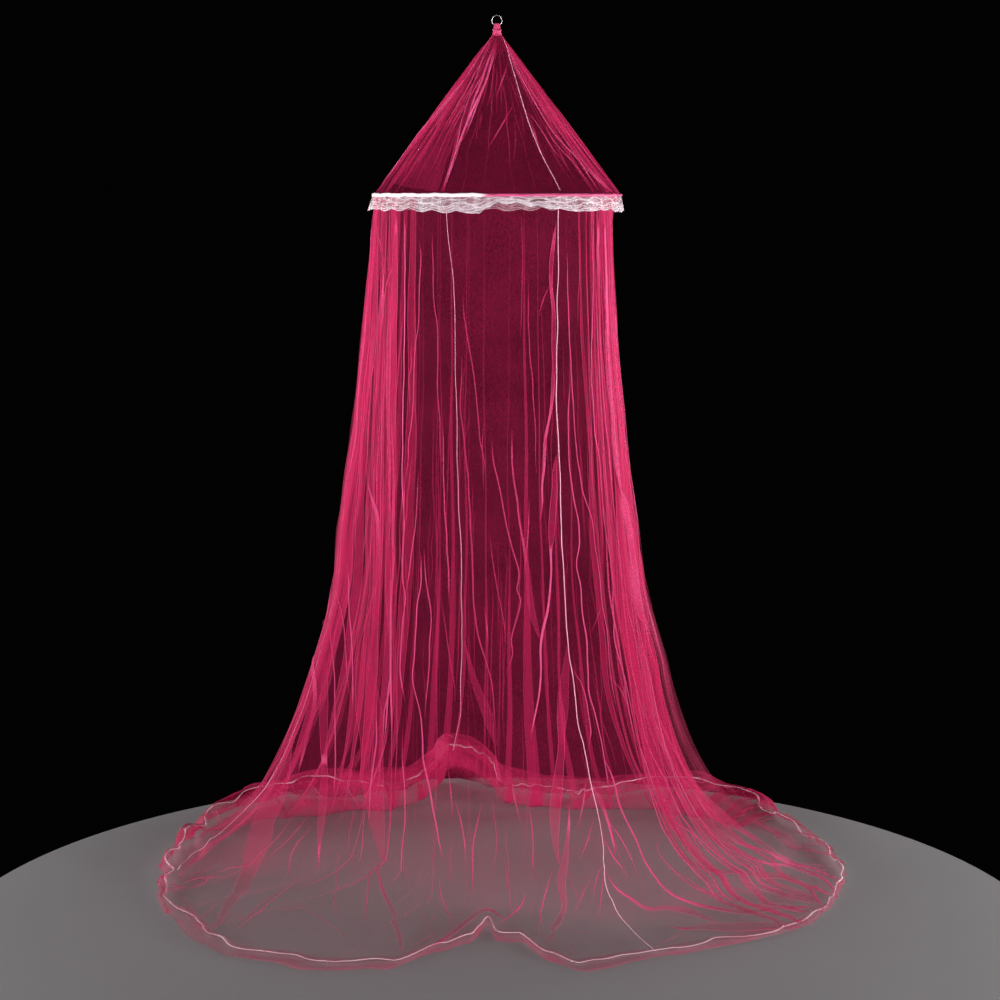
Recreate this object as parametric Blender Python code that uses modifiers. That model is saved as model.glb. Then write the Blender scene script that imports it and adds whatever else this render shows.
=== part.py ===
"""Round mosquito net canopy: a hanging ring, a bound neck, a cone roof, a hoop with
its lace frill, and a long skirt that ends in a train on the floor.

The origin is the point of the ring that a ceiling hook carries, +Z is up and the
front faces -Y. Heights in the tables are above the floor. An azimuth is 0 at the
front and grows towards +X, the right side as seen from the front.
"""
import math
from bisect import bisect_right
from collections import namedtuple

import bmesh
import bpy

# ---- Driving dimensions, metres ----
HANG_HEIGHT = 2.125        # floor to the hook's bearing point in the ring
HOOP_HEIGHT = 1.700        # floor to the middle of the hoop
HOOP_RADIUS = 0.2955       # middle line of the hoop's rod
HOOP_ROD_RADIUS = 0.0045   # rod in its tape
RING_RADIUS = 0.0121       # middle line of the ring's wire
RING_WIRE_RADIUS = 0.0009
NET_THICKNESS = 0.0012
LACE_THICKNESS = 0.0010
SEAM_GAP = 0.0005          # between pieces that are sewn together
RING_CLEARANCE = 0.0005    # between the ring's wire and the net round it

# ---- Neck ----
NECK_BOTTOM = 2.0815
NECK_SEGMENTS = 18
NeckRow = namedtuple("NeckRow", "height half_width half_depth")
NECK_ROWS = [
    NeckRow(2.0815, 0.0115, 0.0100),
    NeckRow(2.0850, 0.0100, 0.0088),
    NeckRow(2.0880, 0.0118, 0.0102),
    NeckRow(2.0910, 0.0100, 0.0085),
    NeckRow(2.0965, 0.0088, 0.0068),
    NeckRow(2.1020, 0.0084, 0.0056),
    NeckRow(2.1055, 0.0074, 0.0042),
    NeckRow(2.1072, 0.0052, 0.0024),
]

# ---- Roof ----
ROOF_COLUMNS = 60
ROOF_BAND = 0.004          # upright strip at the roof's two ends
ROOF_TOP_RADIUS = 0.0100
ROOF_STEPS = (0.0, 0.07, 0.20, 0.40, 0.62, 0.82, 1.0)
RoofFold = namedtuple("RoofFold", "azimuth half_width height")
ROOF_FOLDS = [
    RoofFold(-104, 14, 0.010),
    RoofFold(-72, 12, 0.012),
    RoofFold(-48, 11, 0.008),
    RoofFold(-24, 12, 0.016),
    RoofFold(27, 11, 0.010),
    RoofFold(62, 12, 0.010),
    RoofFold(84, 12, 0.014),
    RoofFold(112, 14, 0.010),
    RoofFold(150, 16, 0.008),
    RoofFold(-150, 16, 0.008),
]
RoofSag = namedtuple("RoofSag", "azimuth depth")
ROOF_SAG = [
    RoofSag(-90, 0.006),
    RoofSag(0, 0.010),
    RoofSag(90, 0.014),
    RoofSag(180, 0.010),
]

# ---- Frill ----
RIM_COLUMNS = 54
HEADING_HALF_HEIGHT = 0.0055
HEADING_THICKNESS = 0.0010
FRILL_COLUMNS = 108
FRILL_TOP_RADIUS = 0.3020
FRILL_FLARE = 0.0055       # how far its lower edge stands out
FRILL_RUFFLE = 0.0032
FRILL_RUFFLES = 27
FRILL_SCALLOP = 0.0025
FRILL_SCALLOPS = 36
FRILL_STEPS = (0.0, 0.30, 0.68, 1.0)
FRILL_HOLE_BAND = 1        # band of faces that holds the largest gap of each repeat
FRILL_HOLE_MARGIN = 0.0040
FrillDrop = namedtuple("FrillDrop", "azimuth drop")
FRILL_DROPS = [
    FrillDrop(-180, 0.040),
    FrillDrop(-60, 0.040),
    FrillDrop(-22, 0.043),
    FrillDrop(-12, 0.047),
    FrillDrop(-8, 0.050),
    FrillDrop(-4, 0.030),
    FrillDrop(1, 0.017),
    FrillDrop(9, 0.018),
    FrillDrop(16, 0.026),
    FrillDrop(24, 0.036),
    FrillDrop(34, 0.041),
    FrillDrop(90, 0.042),
]

# ---- Skirt: how each section falls from the hoop to the floor ----
SKIRT_COLUMNS = 108
SKIRT_HEIGHTS = (1.655, 1.50, 1.30, 1.08, 0.86, 0.66, 0.48, 0.33, 0.21, 0.115, 0.045)
TRAIN_STEPS = (0.0, 0.16, 0.34, 0.53, 0.72, 0.88, 1.0)
SWEEP_POWER = 5.2          # how late the wall sweeps out to its foot
TRAIN_LIFT = 0.0008        # middle of the sheet above the floor
FOLD_SHARE_AT_HOOP = 0.06
FOLD_RISE_ON_FLOOR = 0.55  # a wall fold's depth that stays as a ridge on the floor
Section = namedtuple("Section", "hoop_azimuth foot_azimuth foot_radius lean bunch")
SECTIONS = [
    Section(-180, -180, 0.500, 0.45, 0.110),
    Section(-160, -166, 0.610, 0.38, 0.105),
    Section(-140, -148, 0.560, 0.40, 0.100),
    Section(-118, -124, 0.690, 0.40, 0.075),
    Section(-98, -100, 0.760, 0.40, 0.050),
    Section(-84, -82, 0.740, 0.40, 0.030),
    Section(-68, -66, 0.440, 0.34, 0.010),
    Section(-56, -56, 0.335, 0.30, 0.006),
    Section(-30, -30, 0.330, 0.30, 0.010),
    Section(0, 0, 0.335, 0.30, 0.010),
    Section(14, 15, 0.345, 0.30, 0.006),
    Section(27, 35, 0.490, 0.28, 0.004),
    Section(50, 56, 0.600, 0.30, 0.006),
    Section(70, 73, 0.700, 0.28, 0.012),
    Section(92, 92, 0.745, 0.28, 0.014),
    Section(112, 114, 0.720, 0.28, 0.030),
    Section(132, 136, 0.650, 0.34, 0.055),
    Section(152, 156, 0.520, 0.42, 0.100),
]

# ---- Skirt: the hem's outline on the floor ----
HemPoint = namedtuple("HemPoint", "azimuth radius")
HEM = [
    HemPoint(-180, 0.700),
    HemPoint(-169, 0.820),
    HemPoint(-156, 0.720),
    HemPoint(-146, 0.740),
    HemPoint(-134, 0.870),
    HemPoint(-118, 0.880),
    HemPoint(-104, 0.850),
    HemPoint(-84, 0.850),
    HemPoint(-66, 0.860),
    HemPoint(-48, 0.868),
    HemPoint(-34, 0.815),
    HemPoint(-20, 0.735),
    HemPoint(-13, 0.600),
    HemPoint(-7, 0.530),
    HemPoint(-3, 0.430),
    HemPoint(0, 0.510),
    HemPoint(6, 0.525),
    HemPoint(11, 0.660),
    HemPoint(16, 0.728),
    HemPoint(28, 0.715),
    HemPoint(41, 0.742),
    HemPoint(58, 0.838),
    HemPoint(74, 0.866),
    HemPoint(90, 0.884),
    HemPoint(112, 0.885),
    HemPoint(130, 0.930),
    HemPoint(142, 0.900),
    HemPoint(154, 0.700),
    HemPoint(168, 0.660),
]

# ---- Skirt: folds, by the azimuth of their crest at the hoop ----
Fold = namedtuple("Fold", "azimuth half_width depth")
SKIRT_FOLDS = [
    Fold(-171, 6, 0.010),
    Fold(-156, 6, 0.018),
    Fold(-143, 6, 0.012),
    Fold(-131, 5, 0.026),
    Fold(-121, 5, 0.034),
    Fold(-111, 5, 0.026),
    Fold(-101, 5, 0.036),
    Fold(-91, 5, 0.030),
    Fold(-81, 5, 0.034),
    Fold(-70, 5, 0.030),
    Fold(-60, 5, 0.034),
    Fold(-50, 5, 0.022),
    Fold(-36, 6, 0.012),
    Fold(-22, 5, 0.009),
    Fold(-9, 5, 0.008),
    Fold(9, 5, 0.014),
    Fold(27, 6, 0.022),
    Fold(38, 5, 0.012),
    Fold(50, 5, 0.020),
    Fold(60, 5, 0.030),
    Fold(69, 5, 0.026),
    Fold(79, 5, 0.034),
    Fold(89, 5, 0.030),
    Fold(99, 5, 0.034),
    Fold(110, 5, 0.024),
    Fold(121, 5, 0.030),
    Fold(133, 6, 0.022),
    Fold(147, 6, 0.010),
    Fold(162, 6, 0.012),
]


# ---- Scene helpers ----
def clear_scene():
    for scene_object in list(bpy.data.objects):
        bpy.data.objects.remove(scene_object, do_unlink=True)


def new_collection(name):
    collection = bpy.data.collections.new(name)
    bpy.context.scene.collection.children.link(collection)
    return collection


def make_material(name, color, roughness, metallic=0.0, alpha=1.0):
    material = bpy.data.materials.new(name)
    material.use_nodes = True
    shader = material.node_tree.nodes["Principled BSDF"]
    shader.inputs["Base Color"].default_value = (*color, 1.0)
    shader.inputs["Roughness"].default_value = roughness
    shader.inputs["Metallic"].default_value = metallic
    shader.inputs["Alpha"].default_value = alpha
    return material


def add_object(name, mesh, collection, material):
    piece = bpy.data.objects.new(name, mesh)
    collection.objects.link(piece)
    mesh.materials.append(material)
    mesh.shade_smooth()
    return piece


def move_to(piece, collection, material):
    for holder in list(piece.users_collection):
        holder.objects.unlink(piece)
    collection.objects.link(piece)
    piece.data.materials.clear()
    piece.data.materials.append(material)
    piece.data.shade_smooth()


# ---- Geometry helpers ----
def place(azimuth, radius, height):
    """Point at an azimuth in degrees, a radius, and a height above the floor."""
    angle = math.radians(azimuth)
    return (radius * math.sin(angle), -radius * math.cos(angle), height - HANG_HEIGHT)


def wrap(degrees):
    """Angle in the range -180 to 180."""
    return (degrees + 180.0) % 360.0 - 180.0


def around(table, azimuth, column):
    """Value of a table's column at an azimuth, eased from each row to the next, all round."""
    starts = [row[0] for row in table]
    low = bisect_right(starts, wrap(azimuth)) - 1
    first = table[low]
    second = table[(low + 1) % len(table)]
    span = (second[0] - first[0]) % 360.0
    share = ((azimuth - first[0]) % 360.0) / span
    eased = share * share * (3.0 - 2.0 * share)
    before = getattr(first, column)
    after = getattr(second, column)
    if column.endswith("azimuth"):
        return before + eased * wrap(after - before)
    return before + eased * (after - before)


def ridge(folds, azimuth, column):
    """Height of the folds at an azimuth: a rounded ridge at each crest."""
    total = 0.0
    for fold in folds:
        offset = wrap(azimuth - fold.azimuth) / fold.half_width
        if abs(offset) < 1.0:
            total += getattr(fold, column) * math.cos(0.5 * math.pi * offset) ** 2
    return total


def ring_sheet(rows, hole_faces=(), hole_margin=0.0):
    """Closed band of faces through rows of points that each run once round."""
    mesh = bpy.data.meshes.new("sheet")
    shape = bmesh.new()
    grid = [[shape.verts.new(point) for point in row] for row in rows]
    count = len(rows[0])
    faces = {}
    for level in range(len(rows) - 1):
        for column in range(count):
            following = (column + 1) % count
            corners = (
                grid[level + 1][column],
                grid[level + 1][following],
                grid[level][following],
                grid[level][column],
            )
            faces[level, column] = shape.faces.new(corners)
    holes = [faces[key] for key in hole_faces]
    if holes:
        bmesh.ops.inset_individual(shape, faces=holes, thickness=hole_margin, use_even_offset=True)
        bmesh.ops.delete(shape, geom=holes, context="FACES")
    bmesh.ops.recalc_face_normals(shape, faces=shape.faces)
    shape.to_mesh(mesh)
    shape.free()
    return mesh


def add_thickness(piece, thickness):
    solidify = piece.modifiers.new("Thickness", "SOLIDIFY")
    solidify.thickness = thickness
    solidify.offset = 0.0


def azimuths(count):
    return [-180.0 + 360.0 * index / count for index in range(count)]


# ---- Hanging ring and neck ----
def ring_center_height():
    return HANG_HEIGHT - (RING_RADIUS - RING_WIRE_RADIUS)


def add_ring_torus(wire_radius, major_segments, minor_segments):
    bpy.ops.mesh.primitive_torus_add(
        major_segments=major_segments,
        minor_segments=minor_segments,
        major_radius=RING_RADIUS,
        minor_radius=wire_radius,
        location=(0.0, 0.0, ring_center_height() - HANG_HEIGHT),
        rotation=(math.pi / 2.0, 0.0, 0.0),
    )
    return bpy.context.object


def build_hanging_ring(collection, material):
    ring = add_ring_torus(RING_WIRE_RADIUS, major_segments=28, minor_segments=8)
    ring.name = "hanging_ring"
    move_to(ring, collection, material)


def neck_mesh():
    """Closed body through the neck's oval sections."""
    mesh = bpy.data.meshes.new("neck")
    shape = bmesh.new()
    loops = []
    for row in NECK_ROWS:
        loop = []
        for index in range(NECK_SEGMENTS):
            angle = 2.0 * math.pi * index / NECK_SEGMENTS
            x = row.half_width * math.cos(angle)
            y = row.half_depth * math.sin(angle)
            loop.append(shape.verts.new((x, y, row.height - HANG_HEIGHT)))
        loops.append(loop)
    for lower, upper in zip(loops, loops[1:]):
        for index in range(NECK_SEGMENTS):
            following = (index + 1) % NECK_SEGMENTS
            shape.faces.new((lower[index], lower[following], upper[following], upper[index]))
    shape.faces.new(list(reversed(loops[0])))
    shape.faces.new(loops[-1])
    bmesh.ops.recalc_face_normals(shape, faces=shape.faces)
    shape.to_mesh(mesh)
    shape.free()
    return mesh


def build_neck(collection, cutters, material):
    """Gathered net with a channel where the ring's wire passes through it."""
    neck = add_object("neck_gather", neck_mesh(), collection, material)
    channel = add_ring_torus(RING_WIRE_RADIUS + RING_CLEARANCE, major_segments=28, minor_segments=8)
    channel.name = "ring_channel"
    move_to(channel, cutters, material)
    channel.hide_render = True
    channel.display_type = "WIRE"
    cut = neck.modifiers.new("Ring channel", "BOOLEAN")
    cut.operation = "DIFFERENCE"
    cut.object = channel


# ---- Roof ----
def roof_point(azimuth, share):
    """Point of the roof's slope, from its top (share 0) to the hoop (share 1)."""
    top = NECK_BOTTOM - SEAM_GAP - ROOF_BAND
    bottom = HOOP_HEIGHT + HOOP_ROD_RADIUS + SEAM_GAP + ROOF_BAND
    bow = 4.0 * share * (1.0 - share)
    radius = ROOF_TOP_RADIUS + (HOOP_RADIUS - ROOF_TOP_RADIUS) * share
    radius -= bow * around(ROOF_SAG, azimuth, "depth")
    radius += bow * ridge(ROOF_FOLDS, azimuth, "height")
    return place(azimuth, radius, top + (bottom - top) * share)


def build_roof(collection, material):
    turns = azimuths(ROOF_COLUMNS)
    rim_height = HOOP_HEIGHT + HOOP_ROD_RADIUS + SEAM_GAP
    rows = [[place(azimuth, ROOF_TOP_RADIUS, NECK_BOTTOM - SEAM_GAP) for azimuth in turns]]
    rows += [[roof_point(azimuth, share) for azimuth in turns] for share in ROOF_STEPS]
    rows += [[place(azimuth, HOOP_RADIUS, rim_height) for azimuth in turns]]
    roof = add_object("roof_net", ring_sheet(rows), collection, material)
    add_thickness(roof, NET_THICKNESS)


# ---- Hoop, heading and frill ----
def build_hoop(collection, material):
    bpy.ops.mesh.primitive_torus_add(
        major_segments=RIM_COLUMNS,
        minor_segments=8,
        major_radius=HOOP_RADIUS,
        minor_radius=HOOP_ROD_RADIUS,
        location=(0.0, 0.0, HOOP_HEIGHT - HANG_HEIGHT),
    )
    hoop = bpy.context.object
    hoop.name = "hoop"
    move_to(hoop, collection, material)


def build_heading(collection, material):
    """White band sewn round the outside of the hoop: a turned rectangle."""
    inner = HOOP_RADIUS + HOOP_ROD_RADIUS + SEAM_GAP
    outer = inner + HEADING_THICKNESS
    top = HOOP_HEIGHT + HEADING_HALF_HEIGHT - HANG_HEIGHT
    bottom = HOOP_HEIGHT - HEADING_HALF_HEIGHT - HANG_HEIGHT
    corners = [(outer, 0.0, top), (outer, 0.0, bottom), (inner, 0.0, bottom), (inner, 0.0, top)]
    mesh = bpy.data.meshes.new("heading")
    edges = [(0, 1), (1, 2), (2, 3), (3, 0)]
    mesh.from_pydata(corners, edges, [])
    heading = add_object("frill_heading", mesh, collection, material)
    turn = heading.modifiers.new("Turn", "SCREW")
    turn.axis = "Z"
    turn.steps = RIM_COLUMNS
    turn.render_steps = RIM_COLUMNS
    turn.use_merge_vertices = True
    turn.merge_threshold = 0.0001


def frill_point(azimuth, share):
    """Point of the lace, from its sewn edge (share 0) to its scalloped edge (share 1)."""
    top = HOOP_HEIGHT - HEADING_HALF_HEIGHT - SEAM_GAP
    angle = math.radians(azimuth)
    drop = around(FRILL_DROPS, azimuth, "drop")
    drop += FRILL_SCALLOP * abs(math.sin(0.5 * FRILL_SCALLOPS * angle))
    ruffle = 0.5 + 0.5 * math.cos(FRILL_RUFFLES * angle + 0.8 * math.sin(5.0 * angle))
    radius = FRILL_TOP_RADIUS + share * (FRILL_FLARE + FRILL_RUFFLE * ruffle)
    return place(azimuth, radius, top - drop * share)


def build_frill(collection, material):
    turns = azimuths(FRILL_COLUMNS)
    rows = [[frill_point(azimuth, share) for azimuth in turns] for share in FRILL_STEPS]
    hole_faces = [(FRILL_HOLE_BAND, column) for column in range(0, FRILL_COLUMNS, 2)]
    mesh = ring_sheet(rows, hole_faces, FRILL_HOLE_MARGIN)
    frill = add_object("lace_frill", mesh, collection, material)
    add_thickness(frill, LACE_THICKNESS)


# ---- Skirt ----
def skirt_top():
    return HOOP_HEIGHT - HOOP_ROD_RADIUS - SEAM_GAP


def wall_point(azimuth, height):
    """Point of the hanging wall at a height, for the net that starts at this hoop azimuth."""
    fallen = 1.0 - height / skirt_top()
    lean = around(SECTIONS, azimuth, "lean")
    foot_radius = around(SECTIONS, azimuth, "foot_radius")
    foot_azimuth = around(SECTIONS, azimuth, "foot_azimuth")
    spread = lean * fallen + (1.0 - lean) * fallen ** SWEEP_POWER
    radius = HOOP_RADIUS + (foot_radius - HOOP_RADIUS) * spread
    fold_share = FOLD_SHARE_AT_HOOP + (1.0 - FOLD_SHARE_AT_HOOP) * fallen
    radius += fold_share * ridge(SKIRT_FOLDS, azimuth, "depth")
    turned = azimuth + wrap(foot_azimuth - azimuth) * fallen
    return place(turned, radius, max(height, TRAIN_LIFT))


def train_point(azimuth, share):
    """Point of the train, from the wall's foot (share 0) to the hem (share 1)."""
    foot_azimuth = around(SECTIONS, azimuth, "foot_azimuth")
    fold = ridge(SKIRT_FOLDS, azimuth, "depth")
    start = around(SECTIONS, azimuth, "foot_radius") + fold
    end = around(HEM, foot_azimuth, "radius")
    bunch = around(SECTIONS, azimuth, "bunch") * math.sin(math.pi * share)
    rise = FOLD_RISE_ON_FLOOR * fold * share * (1.0 - share) ** 0.5
    return place(foot_azimuth, start + (end - start) * share, TRAIN_LIFT + bunch + rise)


def build_skirt(collection, material):
    turns = azimuths(SKIRT_COLUMNS)
    rows = [[place(azimuth, HOOP_RADIUS, skirt_top()) for azimuth in turns]]
    rows += [[wall_point(azimuth, height) for azimuth in turns] for height in SKIRT_HEIGHTS]
    rows += [[train_point(azimuth, share) for azimuth in turns] for share in TRAIN_STEPS]
    skirt = add_object("skirt_net", ring_sheet(rows), collection, material)
    add_thickness(skirt, NET_THICKNESS)


def main():
    clear_scene()
    parts = new_collection("mosquito_net_canopy")
    cutters = new_collection("cutters")
    net = make_material("pink_net", (0.75, 0.02, 0.14), 0.55, alpha=0.6)
    lace = make_material("white_lace", (0.82, 0.68, 0.74), 0.60)
    tape = make_material("pink_tape", (0.80, 0.16, 0.34), 0.60)
    steel = make_material("pale_steel", (0.72, 0.71, 0.68), 0.28, metallic=1.0)
    build_hanging_ring(parts, steel)
    build_neck(parts, cutters, net)
    build_roof(parts, net)
    build_hoop(parts, tape)
    build_heading(parts, lace)
    build_frill(parts, lace)
    build_skirt(parts, net)


main()
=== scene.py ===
"""Looks of the round mosquito net canopy: pleated sheer net, lace frill, seams, hoop
and ring, set on a pale round floor.

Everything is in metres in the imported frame: the origin is where the hook carries the
ring, the floor is HANG_HEIGHT below it, and the front faces -Y. An azimuth is 0 at
the front and grows towards +X. Heights in tables are above the floor.
"""
import math
from collections import namedtuple

import bpy
import numpy as np
from mathutils.kdtree import KDTree
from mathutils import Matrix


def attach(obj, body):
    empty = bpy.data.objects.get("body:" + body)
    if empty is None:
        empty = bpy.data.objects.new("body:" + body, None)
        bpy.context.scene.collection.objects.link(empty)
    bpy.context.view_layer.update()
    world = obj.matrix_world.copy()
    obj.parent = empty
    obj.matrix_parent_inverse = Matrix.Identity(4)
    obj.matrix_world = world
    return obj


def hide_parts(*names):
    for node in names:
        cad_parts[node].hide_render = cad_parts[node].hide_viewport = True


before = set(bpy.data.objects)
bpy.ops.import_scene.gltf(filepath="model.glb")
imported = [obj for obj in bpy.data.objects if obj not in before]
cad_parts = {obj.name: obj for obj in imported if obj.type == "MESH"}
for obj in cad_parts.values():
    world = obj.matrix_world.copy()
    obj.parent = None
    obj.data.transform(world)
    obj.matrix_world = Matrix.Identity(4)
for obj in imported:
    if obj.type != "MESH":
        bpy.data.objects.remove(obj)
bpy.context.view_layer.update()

Stroke = namedtuple("Stroke", "zone shine route")


def table(columns, *rows):
    """Rows of a table with named columns."""
    row_type = namedtuple("Row", columns)
    return [row_type(*row) for row in rows]


def strokes(own_zone, *rows):
    """Strokes from rows of a shine and points, after a zone where it isn't the table's own one.
    Where no width is given, the first and last point are 1 wide, and any other keeps the width."""
    made = []
    for row in rows:
        zone, shine, *points = row if isinstance(row[0], str) else (own_zone, *row)
        route, wide = [], 1
        for number, (across, down, *width) in enumerate(points, 1):
            if width:
                wide = width[0]
            elif number == len(points):
                wide = 1
            route.append((across, down, wide))
        made.append(Stroke(zone, shine, route))
    return made


FULL_TURN = 2.0 * math.pi

# ---- Sizes, as in the construction ----
HANG_HEIGHT = 2.125
HOOP_HEIGHT = 1.700
HOOP_RADIUS = 0.2955
HOOP_ROD_RADIUS = 0.0045
SEAM_GAP = 0.0005
NECK_BOTTOM = 2.0815
SKIRT_TOP = HOOP_HEIGHT - HOOP_ROD_RADIUS - SEAM_GAP
SWEEP_POWER = 5.2
TRAIN_LIFT = 0.0012
FOLD_SHARE_AT_HOOP = 0.06
FOLD_RISE_ON_FLOOR = 0.55

SECTIONS = table(
    "hoop_azimuth foot_azimuth foot_radius lean bunch",
    (-180, -180, 0.500, 0.45, 0.056),
    (-160, -166, 0.610, 0.38, 0.050),
    (-140, -148, 0.560, 0.40, 0.074),
    (-118, -124, 0.690, 0.40, 0.058),
    (-98, -100, 0.760, 0.40, 0.032),
    (-84, -82, 0.740, 0.40, 0.016),
    (-68, -66, 0.440, 0.34, 0.010),
    (-56, -56, 0.335, 0.30, 0.006),
    (-30, -30, 0.330, 0.30, 0.010),
    (0, 0, 0.335, 0.30, 0.010),
    (14, 15, 0.345, 0.30, 0.006),
    (27, 35, 0.490, 0.28, 0.004),
    (50, 56, 0.600, 0.30, 0.006),
    (70, 73, 0.700, 0.28, 0.012),
    (92, 92, 0.745, 0.28, 0.014),
    (112, 114, 0.720, 0.28, 0.030),
    (132, 136, 0.650, 0.34, 0.058),
    (152, 156, 0.520, 0.42, 0.044),
)
HEM = table(
    "azimuth radius",
    (-180, 0.700), (-169, 0.820), (-156, 0.720), (-146, 0.740), (-134, 0.870), (-118, 0.880),
    (-104, 0.850), (-84, 0.850), (-66, 0.860), (-48, 0.868), (-34, 0.815), (-20, 0.735), (-13, 0.600),
    (-7, 0.530), (-3, 0.430), (0, 0.510), (6, 0.525), (11, 0.660), (16, 0.728), (28, 0.715), (41, 0.742),
    (58, 0.838), (74, 0.866), (90, 0.884), (112, 0.885), (130, 0.930), (142, 0.900), (154, 0.700),
    (168, 0.660),
)
SKIRT_FOLDS = table(
    "azimuth half_width depth",
    (-171, 6, 0.010), (-156, 6, 0.018), (-143, 6, 0.012), (-131, 5, 0.026), (-121, 5, 0.034),
    (-111, 5, 0.026), (-101, 5, 0.036), (-91, 5, 0.030), (-81, 5, 0.034), (-70, 5, 0.030),
    (-60, 5, 0.034), (-50, 5, 0.022), (-36, 6, 0.012), (-22, 5, 0.009), (-9, 5, 0.008), (9, 5, 0.014),
    (27, 6, 0.022), (38, 5, 0.012), (50, 5, 0.020), (60, 5, 0.030), (69, 5, 0.026), (79, 5, 0.034),
    (89, 5, 0.030), (99, 5, 0.034), (110, 5, 0.024), (121, 5, 0.030), (133, 6, 0.022), (147, 6, 0.010),
    (162, 6, 0.012),
)
BORDERS = table(
    "azimuth width rise",
    (-180, 0.230, 0.016), (-150, 0.220, 0.016), (-130, 0.110, 0.012), (-108, 0.045, 0.006),
    (-92, 0.018, 0.003), (-76, 0.020, 0.003), (-60, 0.052, 0.004), (-20, 0.058, 0.004),
    (-6, 0.046, 0.005), (4, 0.046, 0.005), (16, 0.060, 0.004), (34, 0.036, 0.004), (52, 0.034, 0.004),
    (70, 0.014, 0.003), (96, 0.014, 0.003), (120, 0.080, 0.008), (140, 0.160, 0.014), (162, 0.210, 0.016),
)
SWELLS = table(
    "azimuth wall train fluff lobe layers",
    (-180, 0.003, 0.016, 0.90, 0.0, 0.24),
    (-150, 0.003, 0.018, 0.90, 0.0, 0.38),
    (-128, 0.006, 0.014, 0.85, 0.014, 0.36),
    (-108, 0.009, 0.010, 0.40, 0.030, 0.22),
    (-90, 0.008, 0.010, 0.15, 0.026, 0.12),
    (-78, 0.008, 0.006, 0.0, 0.0, 0.04),
    (-60, 0.005, 0.006, 0.0, 0.0, 0.0),
    (-30, 0.001, 0.002, 0.0, 0.0, 0.0),
    (0, 0.001, 0.002, 0.0, 0.0, 0.0),
    (40, 0.001, 0.003, 0.0, 0.0, 0.0),
    (66, 0.003, 0.005, 0.0, 0.0, 0.0),
    (90, 0.004, 0.004, 0.0, 0.006, 0.03),
    (118, 0.004, 0.008, 0.3, 0.014, 0.12),
    (146, 0.003, 0.016, 0.8, 0.0, 0.16),
)
DRAWN_IN = table(
    "azimuth left right",
    (-180, 0.0, 0.0), (-130, 0.6, 0.0), (-90, 1.0, 0.0), (-50, 0.3, 0.0), (20, 0.0, 0.0), (60, 0.0, 0.7),
    (90, 0.0, 1.0), (120, 0.0, 0.7), (150, 0.0, 0.1),
)
DRAWN_ROWS = table(
    "share left right",
    (0.0, 0.0, 0.0), (0.025, 0.004, 0.024), (0.20, 0.009, 0.037), (0.48, 0.008, 0.031),
    (0.56, 0.019, 0.029), (0.68, 0.012, 0.016), (0.80, 0.016, 0.036), (0.90, 0.028, 0.045),
    (1.0, 0.020, 0.020),
)
HEM_RIPPLE = 0.0045
SHORTEST_TRAIN = 0.05
BACK_ROUNDING = 0.015      # how softly the wall turns onto the floor, behind
FRONT_ROUNDING = 0.065     # how much more softly in front
SIDE_ROUNDING = 0.14       # and at the sides
SIDE_RUNOUT = 1.4          # how much sooner the train runs out to the hem at the sides
LOOP_DEPTH = 0.13          # loose loops of the bunched train, as a share of its length
LOBES = 15.0               # half the number of soft lobes round the hem, which swell at its sides
KNOT_AZIMUTH = -165.0      # the back seam holds the hem off the floor here
KNOT_LEFT_WIDTH = 9.0
KNOT_RIGHT_WIDTH = 15.0
KNOT_HEIGHT = 0.094
KNOT_ON_FLOOR = 0.30
BORDER_MOST = 0.90         # the border stops this far back over a short train
ROOF_TOP_RADIUS = 0.0100
ROOF_FOLDS = table(
    "azimuth half_width depth",
    (-104, 14, 0.010), (-72, 12, 0.012), (-48, 11, 0.008), (-24, 12, 0.016), (27, 11, 0.010),
    (62, 12, 0.010), (84, 12, 0.014), (112, 14, 0.010), (150, 16, 0.008), (-150, 16, 0.008),
)
ROOF_SAG = table(
    "azimuth depth",
    (-180, 0.010), (-90, 0.006), (0, 0.010), (90, 0.014),
)

# ---- Camera, as the photograph was taken: level with the hoop, looking down a little ----
CAMERA_DISTANCE = 5.0
CAMERA_ASIDE = 0.0073
CAMERA_PITCH_DEG = 8.514
CAMERA_LENS_MM = 73.34
SENSOR_MM = 36.0
PICTURE_SIZE = 1000.0

# ---- Pleats: Z folds of three layers that run down the net ----
PLEAT_LAYER_GAP = 0.0030   # half the height that a pleat's layers stand apart
CREASE_WIDTH = 0.0016
LEAN_START = 0.28          # pleats lean sideways from this share of the wall,
LEAN_SPAN = 0.50           # over this share of it
# A pleat's crease value is highest at its two folded edges, which are made denser and painted paler
# there, a painted highlight.
PLEAT_SECTION = table(
    "across inset lift crease",
    (-1.0, 0, 0.25, 0.0), (-0.35, 0, 0.45, 0.12), (0.35, 0, 0.70, 0.12), (1.0, 1, 0.95, 0.12),
    (1.0, 0, 1.00, 1.0), (1.0, 1, 0.85, 0.12), (0.35, 0, 0.35, 0.12), (-0.35, 0, -0.35, 0.12),
    (-1.0, 1, -0.85, 0.12), (-1.0, 0, -1.00, 1.0), (-1.0, 1, -0.95, 0.12), (-0.35, 0, -0.70, 0.12),
    (0.35, 0, -0.45, 0.12), (1.0, 0, -0.25, 0.0),
)
GATHER_COLUMNS = "start end count hoop_width mid_width foot_width reach crease start_lean end_lean"
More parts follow.
